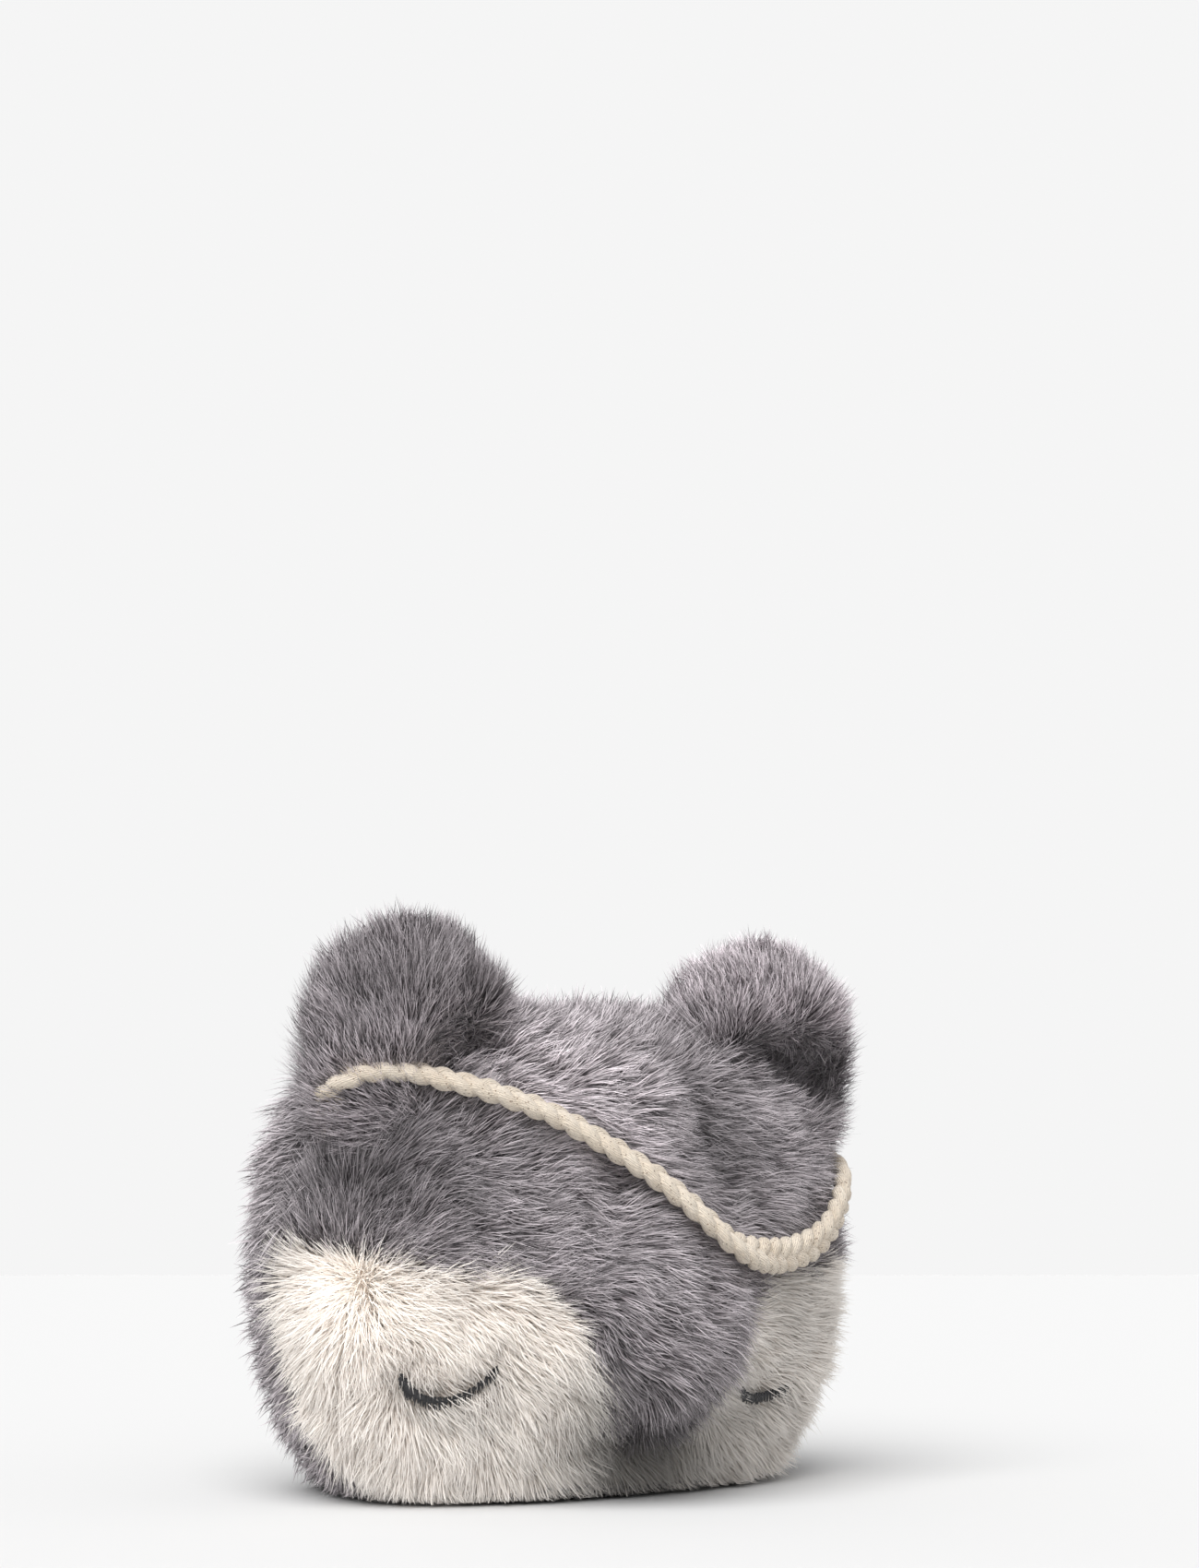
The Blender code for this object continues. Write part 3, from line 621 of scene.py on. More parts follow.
def buildPileTree(blades):
    tree = bpy.data.node_groups.new("growPile", "GeometryNodeTree")
    tree.interface.new_socket("Geometry", in_out="INPUT", socket_type="NodeSocketGeometry")
    for label, value in pileInputs.items():
        socket = tree.interface.new_socket(label, in_out="INPUT", socket_type="NodeSocketFloat")
        socket.default_value = value
    tree.interface.new_socket("Geometry", in_out="OUTPUT", socket_type="NodeSocketGeometry")
    given = tree.nodes.new("NodeGroupInput").outputs
    position = addNode(tree, "GeometryNodeInputPosition").outputs[0]
    along = namedValue(tree, "along")
    parted = plainMath(tree, "SUBTRACT", 1.0, namedValue(tree, "calm"))
    inputs = {"Collection": blades, "Separate Children": True, "Reset Children": True}
    shapes = addNode(tree, "GeometryNodeCollectionInfo", inputs).outputs[0]
    inputs = {
        "Points": scatterRoots(tree, given, position),
        "Instance": shapes,
        "Pick Instance": True,
        "Rotation": turnStrands(tree, given, position, parted),
        "Scale": strandSize(tree, given, position),
    }
    placed = addNode(tree, "GeometryNodeInstanceOnPoints", inputs).outputs[0]
    strands = addNode(tree, "GeometryNodeRealizeInstances", {"Geometry": placed}).outputs[0]
    strands = keepAboveGround(tree, gatherTips(tree, given, strands, along), position, along)
    # where the pile parts, the painted shade at the roots is lifted, so the roots that show are as pale as the
    # rest
    paler = plainMath(tree, "MULTIPLY", parted, pileShape["partedPaleness"])
    paler = plainMath(tree, "MULTIPLY", plainMath(tree, "SUBTRACT", 1.0, along), paler)
    strands = storeValue(tree, strands, "along", plainMath(tree, "ADD", along, paler))
    tree.links.new(strands, tree.nodes.new("NodeGroupOutput").inputs[0])
    return tree


pileTree = buildPileTree(bladeCollection())
socketNames = {item.name: item.identifier for item in pileTree.interface.items_tree if item.in_out == "INPUT"}


def meshOf(holder):
    # the object's mesh with its modifiers applied
    graph = bpy.context.evaluated_depsgraph_get()
    return bpy.data.meshes.new_from_object(
        holder.evaluated_get(graph), preserve_all_data_layers=True, depsgraph=graph
    )


def growPile(skin, settings):
    modifier = skin.modifiers.new("pile", "NODES")
    modifier.node_group = pileTree
    for label, value in settings.items():
        modifier[socketNames[label]] = float(value)
    skin.update_tag()
    bpy.context.view_layer.update()
    mesh = meshOf(skin)
    skin.modifiers.clear()
    return mesh


def growBacking(skin, depth):
    # the cloth under the pile: the skin itself, with a thickness; the pile material gives it the strands' dark
    # root colour, which is painted shade
    shell = skin.modifiers.new("thickness", "SOLIDIFY")
    shell.thickness = depth
    shell.offset = -1.0
    mesh = meshOf(skin)
    skin.modifiers.clear()
    return mesh


def setPointValues(mesh, name, kind, values):
    attribute = mesh.attributes.new(name, kind, "POINT")
    field = "vector" if kind == "FLOAT_VECTOR" else "value"
    attribute.data.foreach_set(field, np.asarray(values, np.float32).ravel())


def makePile(name, data, material, settings, stands, clothDepth=0.0008):
    # data is the skin's mesh, with flow, calm, reach, thick and shade, a painted shade and light factor, on its
    # points
    holder = addObject(name + "_skin", data)
    pieces = []
    for mesh in (growPile(holder, settings), growBacking(holder, clothDepth)):
        mesh.materials.clear()
        mesh.materials.append(material)
        mesh.shade_smooth()
        pieces.append(addObject(name, mesh))
    bpy.data.objects.remove(holder)
    made = pieces[0]
    with bpy.context.temp_override(
        active_object=made, object=made, selected_objects=pieces, selected_editable_objects=pieces
    ):
        bpy.ops.object.join()
    made.name = name
    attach(made, "head")
    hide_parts(*stands)
    print("pile:", name, len(made.data.polygons), "faces")


# Skins: each panel's outer face, sunk by the pile's height, with the lie of the pile on its points.

flowGuides = {
    # places in millimetres, then the way the pile lies there, in tenths
    "forehead": (
        (-63, -30, 116, 9, -3, 4), (-51, -35, 113, 10, -3, 0), (-62, -34, 103, 9, -4, 0),
        (-60, -36, 90, 9, -4, -1), (-49, -39, 98, 9, -3, -1), (-41, -39, 109, 10, -3, 0),
        (-29, -44, 102, 9, -3, -2), (-36, -45, 90, 9, -4, -3), (-46, -42, 83, 9, -4, -2),
        (-20, -49, 96, 9, -4, -3), (-20, -54, 84, 8, -4, -3), (-6, -56, 88, 9, -3, -3),
        (3, -61, 76, 9, -1, -4), (-12, -61, 74, 8, -3, -4), (-31, -52, 75, 8, -5, -3),
        (-4, -65, 63, 8, -2, -6), (9, -64, 64, 9, 1, -4), (-23, -59, 65, 7, -5, -5),
        (-17, -63, 54, 7, -3, -6), (-3, -66, 49, 7, 0, -7), (-20, -60, 44, 5, -1, -8),
        (-9, -61, 36, 6, 2, -8), (-15, -54, 28, 4, 5, -8), (4, -60, 33, 7, 4, -6), (-5, -54, 25, 5, 5, -7),
        (-56, -38, 79, 9, -4, -1), (-53, -21, 140, 9, -1, 3), (-60, -24, 133, 9, -4, 1),
        (-45, -29, 133, 10, -2, 1), (-31, -32, 133, 10, -2, 0), (-49, -32, 125, 10, -3, 0),
        (-31, -37, 123, 10, -2, -1), (-15, -35, 131, 10, -2, -1), (-13, -42, 117, 9, -2, -3),
        (2, -43, 115, 9, -2, -4), (-3, -38, 126, 10, -1, -3), (13, -46, 107, 8, -1, -5),
        (29, -46, 96, 9, 2, -3), (43, -43, 88, 9, 3, -2), (56, -37, 99, 9, 3, -1), (78, -25, 108, 9, 5, 0),
        (61, -36, 85, 9, 3, -2), (36, -41, 107, 9, 1, -5), (24, -41, 115, 6, -2, -8),
        (48, -35, 116, 10, 2, -1), (79, -28, 74, 9, 5, -1), (39, -48, 69, 8, 5, -2),
        (66, -34, 68, 9, 4, -1), (-98, 15, 108, 1, 10, 3), (-95, -2, 114, 1, 7, 7), (-90, -7, 118, 2, 5, 8),
        (-84, -17, 117, 3, 2, 9), (-77, -22, 119, 5, 1, 9), (-70, -26, 119, 6, 0, 8),
        (-100, 18, 101, 1, 10, 0), (-101, 0, 95, -1, 9, 4), (-98, -8, 98, -1, 6, 8),
        (-92, -16, 98, 0, 2, 10), (-87, -21, 98, 2, 0, 10), (-80, -25, 101, 4, -1, 9),
        (-73, -29, 101, 7, -2, 7), (-67, -31, 104, 9, -3, 4), (-103, 4, 86, -1, 9, 4),
        (-103, 11, 78, 0, 10, 3), (-99, -9, 89, -2, 6, 8), (-94, -16, 88, 0, 1, 10),
        (-89, -21, 86, 2, -1, 10), (-83, -25, 88, 5, -3, 8), (-77, -29, 89, 8, -4, 5),
        (-71, -32, 86, 9, -4, 1), (-81, -27, 80, 8, -5, 4), (-74, -31, 79, 9, -4, -1),
        (-68, -33, 75, 9, -4, -2), (-86, -24, 82, 4, -3, 8), (-94, -16, 82, 0, 0, 10),
        (-99, -9, 81, -2, 4, 9), (-101, 25, 70, 2, 10, 0), (-103, 11, 65, 0, 10, -2),
        (-59, -37, 72, 9, -4, -2), (-49, -42, 75, 9, -4, -2),
    ),
    "crown": (
        (-43, -19, 145, 9, 1, 4), (-29, -16, 150, 8, 4, 4), (-11, -1, 160, 7, 7, 1), (2, 0, 158, 6, 8, 1),
        (1, -18, 150, 8, 5, 3), (-38, -27, 138, 10, 0, 3), (-20, -27, 142, 10, 1, 2),
        (-9, -31, 138, 10, 1, 1), (9, -22, 148, 6, 6, 5), (12, -28, 142, 6, 6, 6), (4, -35, 131, 10, 0, -1),
        (14, -34, 133, 2, -5, -8),
    ),
    "leftCheek": (
        (-77, -29, 70, 9, -5, 0), (-68, -34, 70, 9, -4, 0), (-56, -39, 70, 9, -4, 0),
        (-47, -43, 68, 8, -5, -1), (-40, -48, 65, 7, -6, -4), (-34, -53, 58, 7, -5, -5),
        (-30, -55, 51, 6, -3, -7), (-96, -13, 58, -3, 3, -9), (-90, -20, 60, -1, 1, -10),
        (-81, -26, 62, 7, -4, -6), (-89, -19, 52, 1, 0, -10), (-79, -27, 53, 4, -1, -9),
        (-67, -33, 58, 8, -3, -6), (-56, -38, 59, 8, -4, -5), (-44, -45, 56, 7, -4, -6),
        (-65, -33, 49, 5, -1, -9), (-51, -40, 49, 6, -2, -8), (-39, -46, 44, 5, -1, -8),
        (-100, -2, 54, -2, 9, -5), (-100, 3, 44, 0, 9, -4), (-96, -3, 37, 0, 8, -6),
        (-93, -15, 46, 0, 3, -10), (-83, -22, 41, 1, 2, -10), (-88, -16, 33, 0, 4, -9),
        (-90, -5, 23, 0, 8, -7), (-83, -5, 12, 1, 8, -6), (-76, -6, 6, 2, 7, -6), (-78, -20, 24, 1, 4, -9),
        (-72, -18, 13, 1, 5, -9), (-65, -29, 28, 1, 2, -10), (-63, -24, 15, 2, 4, -9),
        (-54, -35, 33, 3, 1, -9), (-49, -32, 20, 3, 2, -9), (-47, -27, 7, 4, 4, -9),
        (-42, -40, 31, 5, 1, -9), (-34, -36, 17, 5, 3, -8), (-29, -49, 33, 6, 1, -8),
        (-23, -46, 24, 6, 3, -7), (-19, -36, 11, 5, 5, -7), (-28, -31, 5, 4, 4, -8),
        (-102, -2, 77, -3, 8, 6), (-97, -12, 79, -4, 4, 9), (-93, -18, 78, -3, 2, 9),
        (-89, -21, 77, 0, 0, 10), (-84, -25, 75, 5, -4, 7), (-100, -7, 71, -5, 9, 2),
        (-98, -12, 73, -5, 7, 5), (-94, -16, 72, -6, 6, 6), (-90, -20, 71, -5, 4, 7),
        (-101, -5, 67, -4, 9, -1), (-97, -12, 66, -6, 8, -3), (-94, -16, 67, -7, 7, -2),
        (-90, -20, 67, -7, 6, -5), (-84, -24, 69, 7, -5, 3), (-77, -29, 68, 9, -5, -1),
        (-100, -7, 60, -3, 5, -8),
    ),
    "rightCheek": (
        (87, -23, 65, 8, 6, 1), (66, -34, 63, 9, 4, 0), (48, -42, 56, 9, 5, 0), (81, -26, 53, 8, 5, -1),
        (60, -35, 46, 9, 4, -2), (42, -44, 44, 7, 6, -3), (85, -21, 40, 7, 6, -2), (24, -55, 38, 5, 6, -6),
        (49, -37, 32, 5, 5, -7), (72, -26, 31, 6, 5, -6), (70, -23, 20, 6, 6, -6), (51, -31, 19, 4, 5, -8),
        (27, -44, 24, 4, 7, -6), (20, -40, 16, 4, 7, -6), (44, -29, 9, 5, 5, -7), (65, -21, 10, 6, 6, -5),
    ),
    "chin": (
        (-10, -45, 18, 4, 7, -7), (3, -42, 14, 4, 7, -6), (1, -35, 7, 3, 6, -7), (11, -44, 17, 5, 7, -5),
        (18, -34, 7, 4, 6, -7),
    ),
    "leftSide": (
        (-99, 32, 69, 4, 9, -1), (-98, 33, 55, 4, 9, -1), (-98, 25, 42, 2, 10, -2), (-95, 19, 28, 2, 9, -3),
        (-87, 21, 14, 2, 9, -2), (-77, 25, 4, 3, 9, -2), (-96, 34, 105, 3, 9, -2), (-86, 30, 128, 1, 5, -8),
        (-78, 44, 118, 2, 3, -9), (-88, 42, 100, 2, 4, -9), (-76, 50, 96, 2, 1, -10),
        (-88, 42, 80, 2, 4, -9), (-78, 50, 72, 2, 1, -10), (-86, 42, 58, 2, 4, -9),
        (-76, 48, 46, 2, 1, -10), (-84, 38, 36, 2, 4, -9), (-74, 42, 20, 2, 2, -9),
        (-72, 36, 142, 0, 3, -9), (-66, 44, 134, 0, 2, -10),
    ),
}

paintedShadePatches = (
    # painted shade and painted light: place in millimetres, spread, and how much darker or paler the strands
    # are there
    ((-88, -20, 96), 17, 0.60),
    ((-72, -28, 106), 14, 0.74),
    ((-100, 0, 72), 14, 0.85),
    ((-35, -32, 132), 16, 1.55),
    ((-8, -38, 124), 14, 1.35),
    ((-23, -17, 151), 14, 1.06),
    ((23, -41, 115), 11, 0.50),
    ((17, -34, 132), 9, 0.66),
    ((31, -43, 104), 13, 0.76),
    ((-25, -57, 52), 6, 0.62),
    ((-21, -54, 38), 7, 0.50),
    ((-17, -47, 22), 7, 0.50),
    ((-8, -56, 28), 12, 0.80),
    ((54, -40, 72), 12, 0.78),
    ((2, -44, 16), 17, 0.06),
    ((-90, -20, 71), 9, 1.55),
    ((66, -34, 58), 24, 0.72),
    ((-79, -28, 64), 15, 1.10),
    ((-58, -36, 34), 9, 0.92),
    ((-56, -36, 60), 20, 1.06),
    ((-16, -44, 14), 9, 0.6),
    ((30, -40, 16), 16, 0.68),
    ((60, -26, 12), 16, 0.80),
)

creases = (
    # points along a fold in millimetres, then its depth and its spread in metres
    (((-26, -58, 54), (-23, -57, 42), (-20, -52, 30), (-15, -42, 14), (-13, -36, 8)), 0.0075, 0.0048),
    (((16, -56, 22), (30, -52, 36), (40, -48, 50), (44, -46, 62)), 0.0040, 0.0045),
    (((14, -32, 140), (20, -38, 126), (28, -43, 110), (40, -43, 96)), 0.0055, 0.0060),
    (((-4, -46, 20), (6, -44, 16), (14, -42, 16)), 0.0050, 0.0090),
)

skinSetup = {
    "depth": 0.0078,
    "facing": 0.35,  # faces that look outwards at least this much are kept
    "split": 0.092,  # the height at which the forehead is made in two
    "cuts": 2,
    "lowest": 0.003,
    "guideSize": 0.005,
    "fallbackReach": 0.040,  # how far from every guide the fallback takes over
    "fallbackShare": 0.6,
    "rearThickness": 0.6,  # fewer strands behind this depth
    "rear": 0.022,
}

strapGap = {
    "shorter": 0.30,  # the pile beside the strap
    "within": 0.009,
    "fade": 0.004,
}

zipClearance = {
    "box": (-0.060, 0.070, 0.097, 0.124),  # across from and to, up from and to
    "behind": 0.03,
    "fade": 0.006,
    "reach": 0.28,
}

eyelidSetup = {
    "lineDepth": 0.004,
    "strandShare": 0.0045,  # how far a strand leans over from its root
    "reach": 0.0115,  # how far above the stitches the pile shortens
    "fade": 0.003,
    "shorter": 0.72,
    "puff": 0.0052,
    # the painted shadow under the stitches: how far down, how wide, how much darker, and how far the skin sinks
    # there
    "shadowDrop": 0.0028,
    "shadowSpread": 0.0030,
    "paintedShadow": 0.45,
    "shadowSink": 0.0018,
}

eyeArcs = {
    # the stitched line of each closed eye: turn and lift in degrees
    "left": (
        (-63.2, -23.2), (-61.8, -26.2), (-59.4, -28.6), (-56.6, -29.7),
        (-53.6, -29.9), (-50.4, -29.2), (-47.4, -27.6), (-44.6, -25.6),
    ),
    "right": (
        (33.5, -33.0), (37.0, -34.2), (41.0, -34.6), (45.0, -34.2), (49.0, -33.2), (53.5, -31.6), (59.0, -29.2),
    ),
}


def lineDistance(spots, line):
    # the distance from every spot to a line of points
    line = np.asarray(line, float)
    best = np.full(len(spots), np.inf)
    for a, b in zip(line, line[1:]):
        t = np.clip((spots - a) @ (b - a) / ((b - a) @ (b - a)), 0, 1)
        best = np.minimum(best, np.linalg.norm(spots - (a + t[:, None] * (b - a)), axis=1))
    return best


def foldSink(spots):
    # how far each spot sinks into a fold
    sink = np.zeros(len(spots))
    for line, depth, spread in creases:
        away = lineDistance(spots, np.asarray(line, float) / 1000)
        sink += depth * np.exp(-((away / spread) ** 2) / 2)
    return sink


def flowOver(spots, normals, guides, fallback):
    # the lie of the pile between the guides, kept in the surface, and how well they agree
    share = skinSetup["fallbackShare"]
    reach = skinSetup["fallbackReach"] ** 3
    total = np.tile(np.asarray(fallback, float), (len(spots), 1)) * share / reach
    weight = np.full(len(spots), share / reach)
    for guide in guides:
        place, way = np.asarray(guide[:3]) / 1000, np.asarray(guide[3:]) / 10
        near = 1 / (np.linalg.norm(spots - place, axis=1) ** 2 + skinSetup["guideSize"] ** 2) ** 1.5
        total += way / np.linalg.norm(way) * near[:, None]
        weight += near
    total -= normals * (total * normals).sum(1)[:, None]
    strength = np.linalg.norm(total, axis=1)
    return total / (strength[:, None] + 1e-12), np.clip(strength / weight, 0, 1)


def paintedShadeOver(spots):
    # painted shade and light from the patches, as a factor on the strands' colour
    shade = np.ones(len(spots))
    for place, spread, value in paintedShadePatches:
        away = np.linalg.norm(spots - np.asarray(place, float) / 1000, axis=1) * 1000
        shade *= 1 + (value - 1) * np.exp(-((away / spread) ** 2) / 2)
    return shade


def eyelidsOver(spots, flow):
    # above the stitches the pile is short over a puffed lid, and below them the skin sinks and the strands
    # carry a painted shadow
    setup = eyelidSetup
    reach, rise, shade = np.ones(len(spots)), np.zeros(len(spots)), np.ones(len(spots))
    for arc in eyeArcs.values():
        line = np.asarray([headPoint(turn, lift, setup["lineDepth"]) for turn, lift in arc], float)
        reached = spots + flow * setup["strandShare"]
        towards = np.einsum("ij,ij->i", line.mean(axis=0) - reached, flow)
        above = np.clip((towards + setup["fade"]) / setup["fade"], 0, 1)
        near = np.clip(1 - lineDistance(reached, line) / setup["reach"], 0, 1) * above
        reach *= 1 - setup["shorter"] * near
        rise += setup["puff"] * near
        under = lineDistance(spots, line - (0, 0, setup["shadowDrop"]))
        # painted shadow under the stitches: the strands there are darker
        dark = np.exp(-((under / setup["shadowSpread"]) ** 2) / 2)
        shade *= 1 - setup["paintedShadow"] * dark
        rise -= setup["shadowSink"] * dark
    return reach, rise, shade


def clearOfZip(spots):
    # the pile is short along the zip and where its pull swings
    x0, x1, z0, z1 = zipClearance["box"]
    aside = np.maximum(x0 - spots[:, 0], spots[:, 0] - x1)
    outside = np.maximum(aside, np.maximum(z0 - spots[:, 2], spots[:, 2] - z1))
    share = np.clip(1 - outside / zipClearance["fade"], 0, 1) * (spots[:, 1] > zipClearance["behind"])
    return 1 - (1 - zipClearance["reach"]) * share


def clearOfStrap(spots, strapLine):
    away = np.maximum(lineDistance(spots, strapLine[::8]) - strapGap["within"], 0)
    return 1 - strapGap["shorter"] * np.exp(-((away / strapGap["fade"]) ** 2))


def skinMesh(node, depth, kept=None):
    # kept: the way that is cut off at the middle, and +1 or -1 for above or below the split
    mesh = bmesh.new()
    mesh.from_mesh(nodes[node].data)
    bmesh.ops.remove_doubles(mesh, verts=mesh.verts[:], dist=2e-5)
    centre = headShape["centre"]
    hidden = [
        face
        for face in mesh.faces
        if face.normal.dot((face.calc_center_median() - centre).normalized()) < skinSetup["facing"]
    ]
    bmesh.ops.delete(mesh, geom=hidden, context="FACES")
    if kept:
        half, level = kept
        for spot, way in ((Vector(), half), (Vector((0, 0, skinSetup["split"])), Vector((0, 0, -level)))):
            geometry = mesh.verts[:] + mesh.edges[:] + mesh.faces[:]
            bmesh.ops.bisect_plane(mesh, geom=geometry, plane_co=spot, plane_no=way, clear_outer=True)
    bmesh.ops.subdivide_edges(mesh, edges=mesh.edges[:], cuts=skinSetup["cuts"], use_grid_fill=True)
    for vert in mesh.verts:
        direction = (vert.co - centre).normalized()
        vert.co = centre + direction * (headRadius(direction) - depth)
        vert.co.z = max(vert.co.z, min(depth, skinSetup["lowest"]))
    data = meshFrom(mesh, node + "_skin")
    data.materials.clear()
    return data


def readPoints(data):
    spots = np.empty(len(data.vertices) * 3, np.float32)
    data.vertices.foreach_get("co", spots)
    normals = np.empty(len(data.vertices) * 3, np.float32)
    data.vertices.foreach_get("normal", normals)
    return spots.reshape(-1, 3).astype(float), normals.reshape(-1, 3).astype(float)


def dressSkin(data, guides, fallback, strapLine):
    # writes the pile's lie, reach, thickness and painted shade and light on the skin, and sinks its folds
    spots, normals = readPoints(data)
    flow, calm = flowOver(spots, normals, guides, fallback)
    reach, rise, shade = eyelidsOver(spots, flow)
    reach *= clearOfStrap(spots, strapLine)
    shade *= paintedShadeOver(spots)
    spots += normals * (rise - foldSink(spots))[:, None]
    data.vertices.foreach_set("co", spots.astype(np.float32).ravel())
    data.update()
    setPointValues(data, "flow", "FLOAT_VECTOR", flow)
    setPointValues(data, "calm", "FLOAT", calm)
    setPointValues(data, "reach", "FLOAT", reach * clearOfZip(spots))
    thick = np.where(spots[:, 1] < skinSetup["rear"], 1.0, skinSetup["rearThickness"])
    setPointValues(data, "thick", "FLOAT", thick)
    setPointValues(data, "shade", "FLOAT", shade)


pileSettings = {
    "grey": {
        "Density": 5.2e6, "Length": 0.0155, "Width": 0.00031,
        "Lay": -0.10, "Stray": 0.26, "Clump": 0.42, "Wave": 0.0050,
    },
    "cream": {
        "Density": 5.0e6, "Length": 0.0155, "Width": 0.00033,
        "Lay": -0.08, "Stray": 0.22, "Clump": 0.24, "Mottle": 0.07,
    },
    "crown": {
        "Density": 3.9e6, "Length": 0.0155, "Width": 0.00034,
        "Lay": -0.06, "Stray": 0.26, "Clump": 0.45, "Wave": 0.0050,
    },
    "back": {
        "Density": 1.9e6, "Length": 0.0150, "Width": 0.00050,
        "Lay": -0.10, "Stray": 0.24, "Clump": 0.55,
    },
    "base": {
        "Density": 1.2e6, "Length": 0.0060, "Width": 0.00050,
        "Lay": -0.35, "Stray": 0.20, "Clump": 0.30,
    },
    "ear": {
        "Density": 4.2e6, "Length": 0.0138, "Width": 0.00031,
        "Lay": 0.10, "Stray": 0.28, "Clump": 0.45, "Mottle": 0.16,
    },
}


def makeHeadPiles(strapLine):
    along, down, straight, back = (1, 0, 0), (0.0, 0.35, -1.0), (0, 0, -1), (0, 1, 0)
    left, right = Vector((1, 0, 0)), Vector((-1, 0, 0))
    plans = (
        # piece, node, side and height kept, guides, fallback, settings
        ("forehead_pile_upper_left", "forehead_panel", (left, 1), "forehead", along, "grey"),
        ("forehead_pile_lower_left", "forehead_panel", (left, -1), "forehead", along, "grey"),
        ("forehead_pile_upper_right", "forehead_panel", (right, 1), "forehead", along, "grey"),
        ("forehead_pile_lower_right", "forehead_panel", (right, -1), "forehead", along, "grey"),
        ("left_cheek_pile", "left_cheek_patch", None, "leftCheek", straight, "cream"),
        ("right_cheek_pile", "right_cheek_patch", None, "rightCheek", straight, "cream"),
        ("chin_pile", "chin_panel", None, "chin", straight, "cream"),
        ("crown_pile", "crown_panel", None, "crown", back, "crown"),
        ("left_side_pile", "left_side_panel", None, "leftSide", down, "back"),
        ("right_side_pile", "right_side_panel", None, None, down, "back"),
        ("back_upper_pile", "back_upper_panel", None, None, straight, "back"),
        ("back_lower_pile", "back_lower_panel", None, None, straight, "back"),
    )
    for number, (name, node, kept, guides, fallback, kind) in enumerate(plans):
        data = skinMesh(node, skinSetup["depth"], kept)
        dressSkin(data, flowGuides.get(guides, ()), fallback, strapLine)
        settings = dict(pileSettings[kind], Seed=number * 7 + 1)
        material, slot = (creamPile, "cream_plush") if kind == "cream" else (greyPile, "grey_plush")
        makePile(name, data, material, settings, (node,))


baseSetup = {
    "depth": 0.0022,
    "cloth": 0.0012,
    "seed": 97,
}


def makeBasePile():
    data = skinMesh("base_panel", baseSetup["depth"])
    spots, _ = readPoints(data)
    outward = (spots - np.asarray(headShape["centre"])) * (1, 1, 0)
    setPointValues(data, "flow", "FLOAT_VECTOR", outward / (np.linalg.norm(outward, axis=1)[:, None] + 1e-9))
    for label in ("calm", "reach", "thick", "shade"):
        setPointValues(data, label, "FLOAT", np.ones(len(spots)))
    settings = dict(pileSettings["base"], Seed=baseSetup["seed"])
    makePile("base_pile", data, darkPile, settings, ("base_panel",), baseSetup["cloth"])


# Ears: stuffed, rounder at the back, with a hollow in front.

earSetup = {
    # dark is painted shade in the hollow, shade is painted light over the whole ear, topPaintedLight is painted
    # light on the top, paler above 1 and darker below 1
    "left": {
        "seed": 200,
        "centre": Vector((-0.0645, -0.0150, 0.1375)),
        "half": Vector((0.0295, 0.0180, 0.0330)),  # the skin under the pile
        "front": 0.0085,  # how far the front swells
        "hollow": (0.016, -0.006, 0.017, 0.016, 0.009),  # its middle across and up, its half-sizes, its depth
        "dark": 0.42,
        "shade": 1.26,
        "topPaintedLight": 0.74,
        "shorter": 0.30,
    },
    "right": {
        "seed": 202,
        "centre": Vector((0.0625, -0.0150, 0.1385)),
        "half": Vector((0.0315, 0.0180, 0.0325)),
        "front": 0.0095,
        "hollow": (0.010, -0.004, 0.025, 0.015, 0.014),
        "dark": 0.58,
        "shade": 1.00,
        "topPaintedLight": 1.70,
        "shorter": 0.55,
    },
}

bothEars = {
    "turn": -5.0,  # degrees
    "root": (0, 0.004, -0.022),  # where the pile fans out from
    "hollowEdge": 4.5,
    "hollowSlope": 1.6,
    "inHead": 0.010,
    "frontward": (0.25, 0.3),
    "top": (0.002, 0.016),
    "hollowCalm": 0.75,
    "rear": (0.35, 0.45),  # where the back starts, and how thick its pile is
}


def hollowOf(setup, x, z):
    # 1 in the hollow and 0 outside it
    across, up, wide, high, _ = setup["hollow"]
    away = ((x - across) / wide) ** 2 + ((z - up) / high) ** 2
    return 1 / (1 + np.exp(bothEars["hollowEdge"] * (away - 1)))


def earPlace(setup):
    turned = Matrix.Rotation(math.radians(bothEars["turn"]), 4, "Z")
    return Matrix.Translation(setup["centre"]) @ turned


def earSkin(setup):
    mesh = bmesh.new()
    bmesh.ops.create_icosphere(mesh, subdivisions=5, radius=1.0)
    half = setup["half"]
    for vert in mesh.verts:
        spot = vert.co
        thickness = half.y if spot.y > 0 else setup["front"]
        placed = Vector((spot.x * half.x, spot.y * thickness, spot.z * half.z))
        if spot.y < 0:
            sink = hollowOf(setup, placed.x, placed.z) * min(1.0, -spot.y * bothEars["hollowSlope"])
            placed.y += setup["hollow"][4] * sink
        vert.co = placed
    bmesh.ops.transform(mesh, matrix=earPlace(setup), verts=mesh.verts[:])
    inside = []
    for vert in mesh.verts:
        away = vert.co - headShape["centre"]
        if away.length < headRadius(away.normalized()) - bothEars["inHead"]:
            inside.append(vert)
    bmesh.ops.delete(mesh, geom=inside, context="VERTS")
    return meshFrom(mesh, "ear_skin")


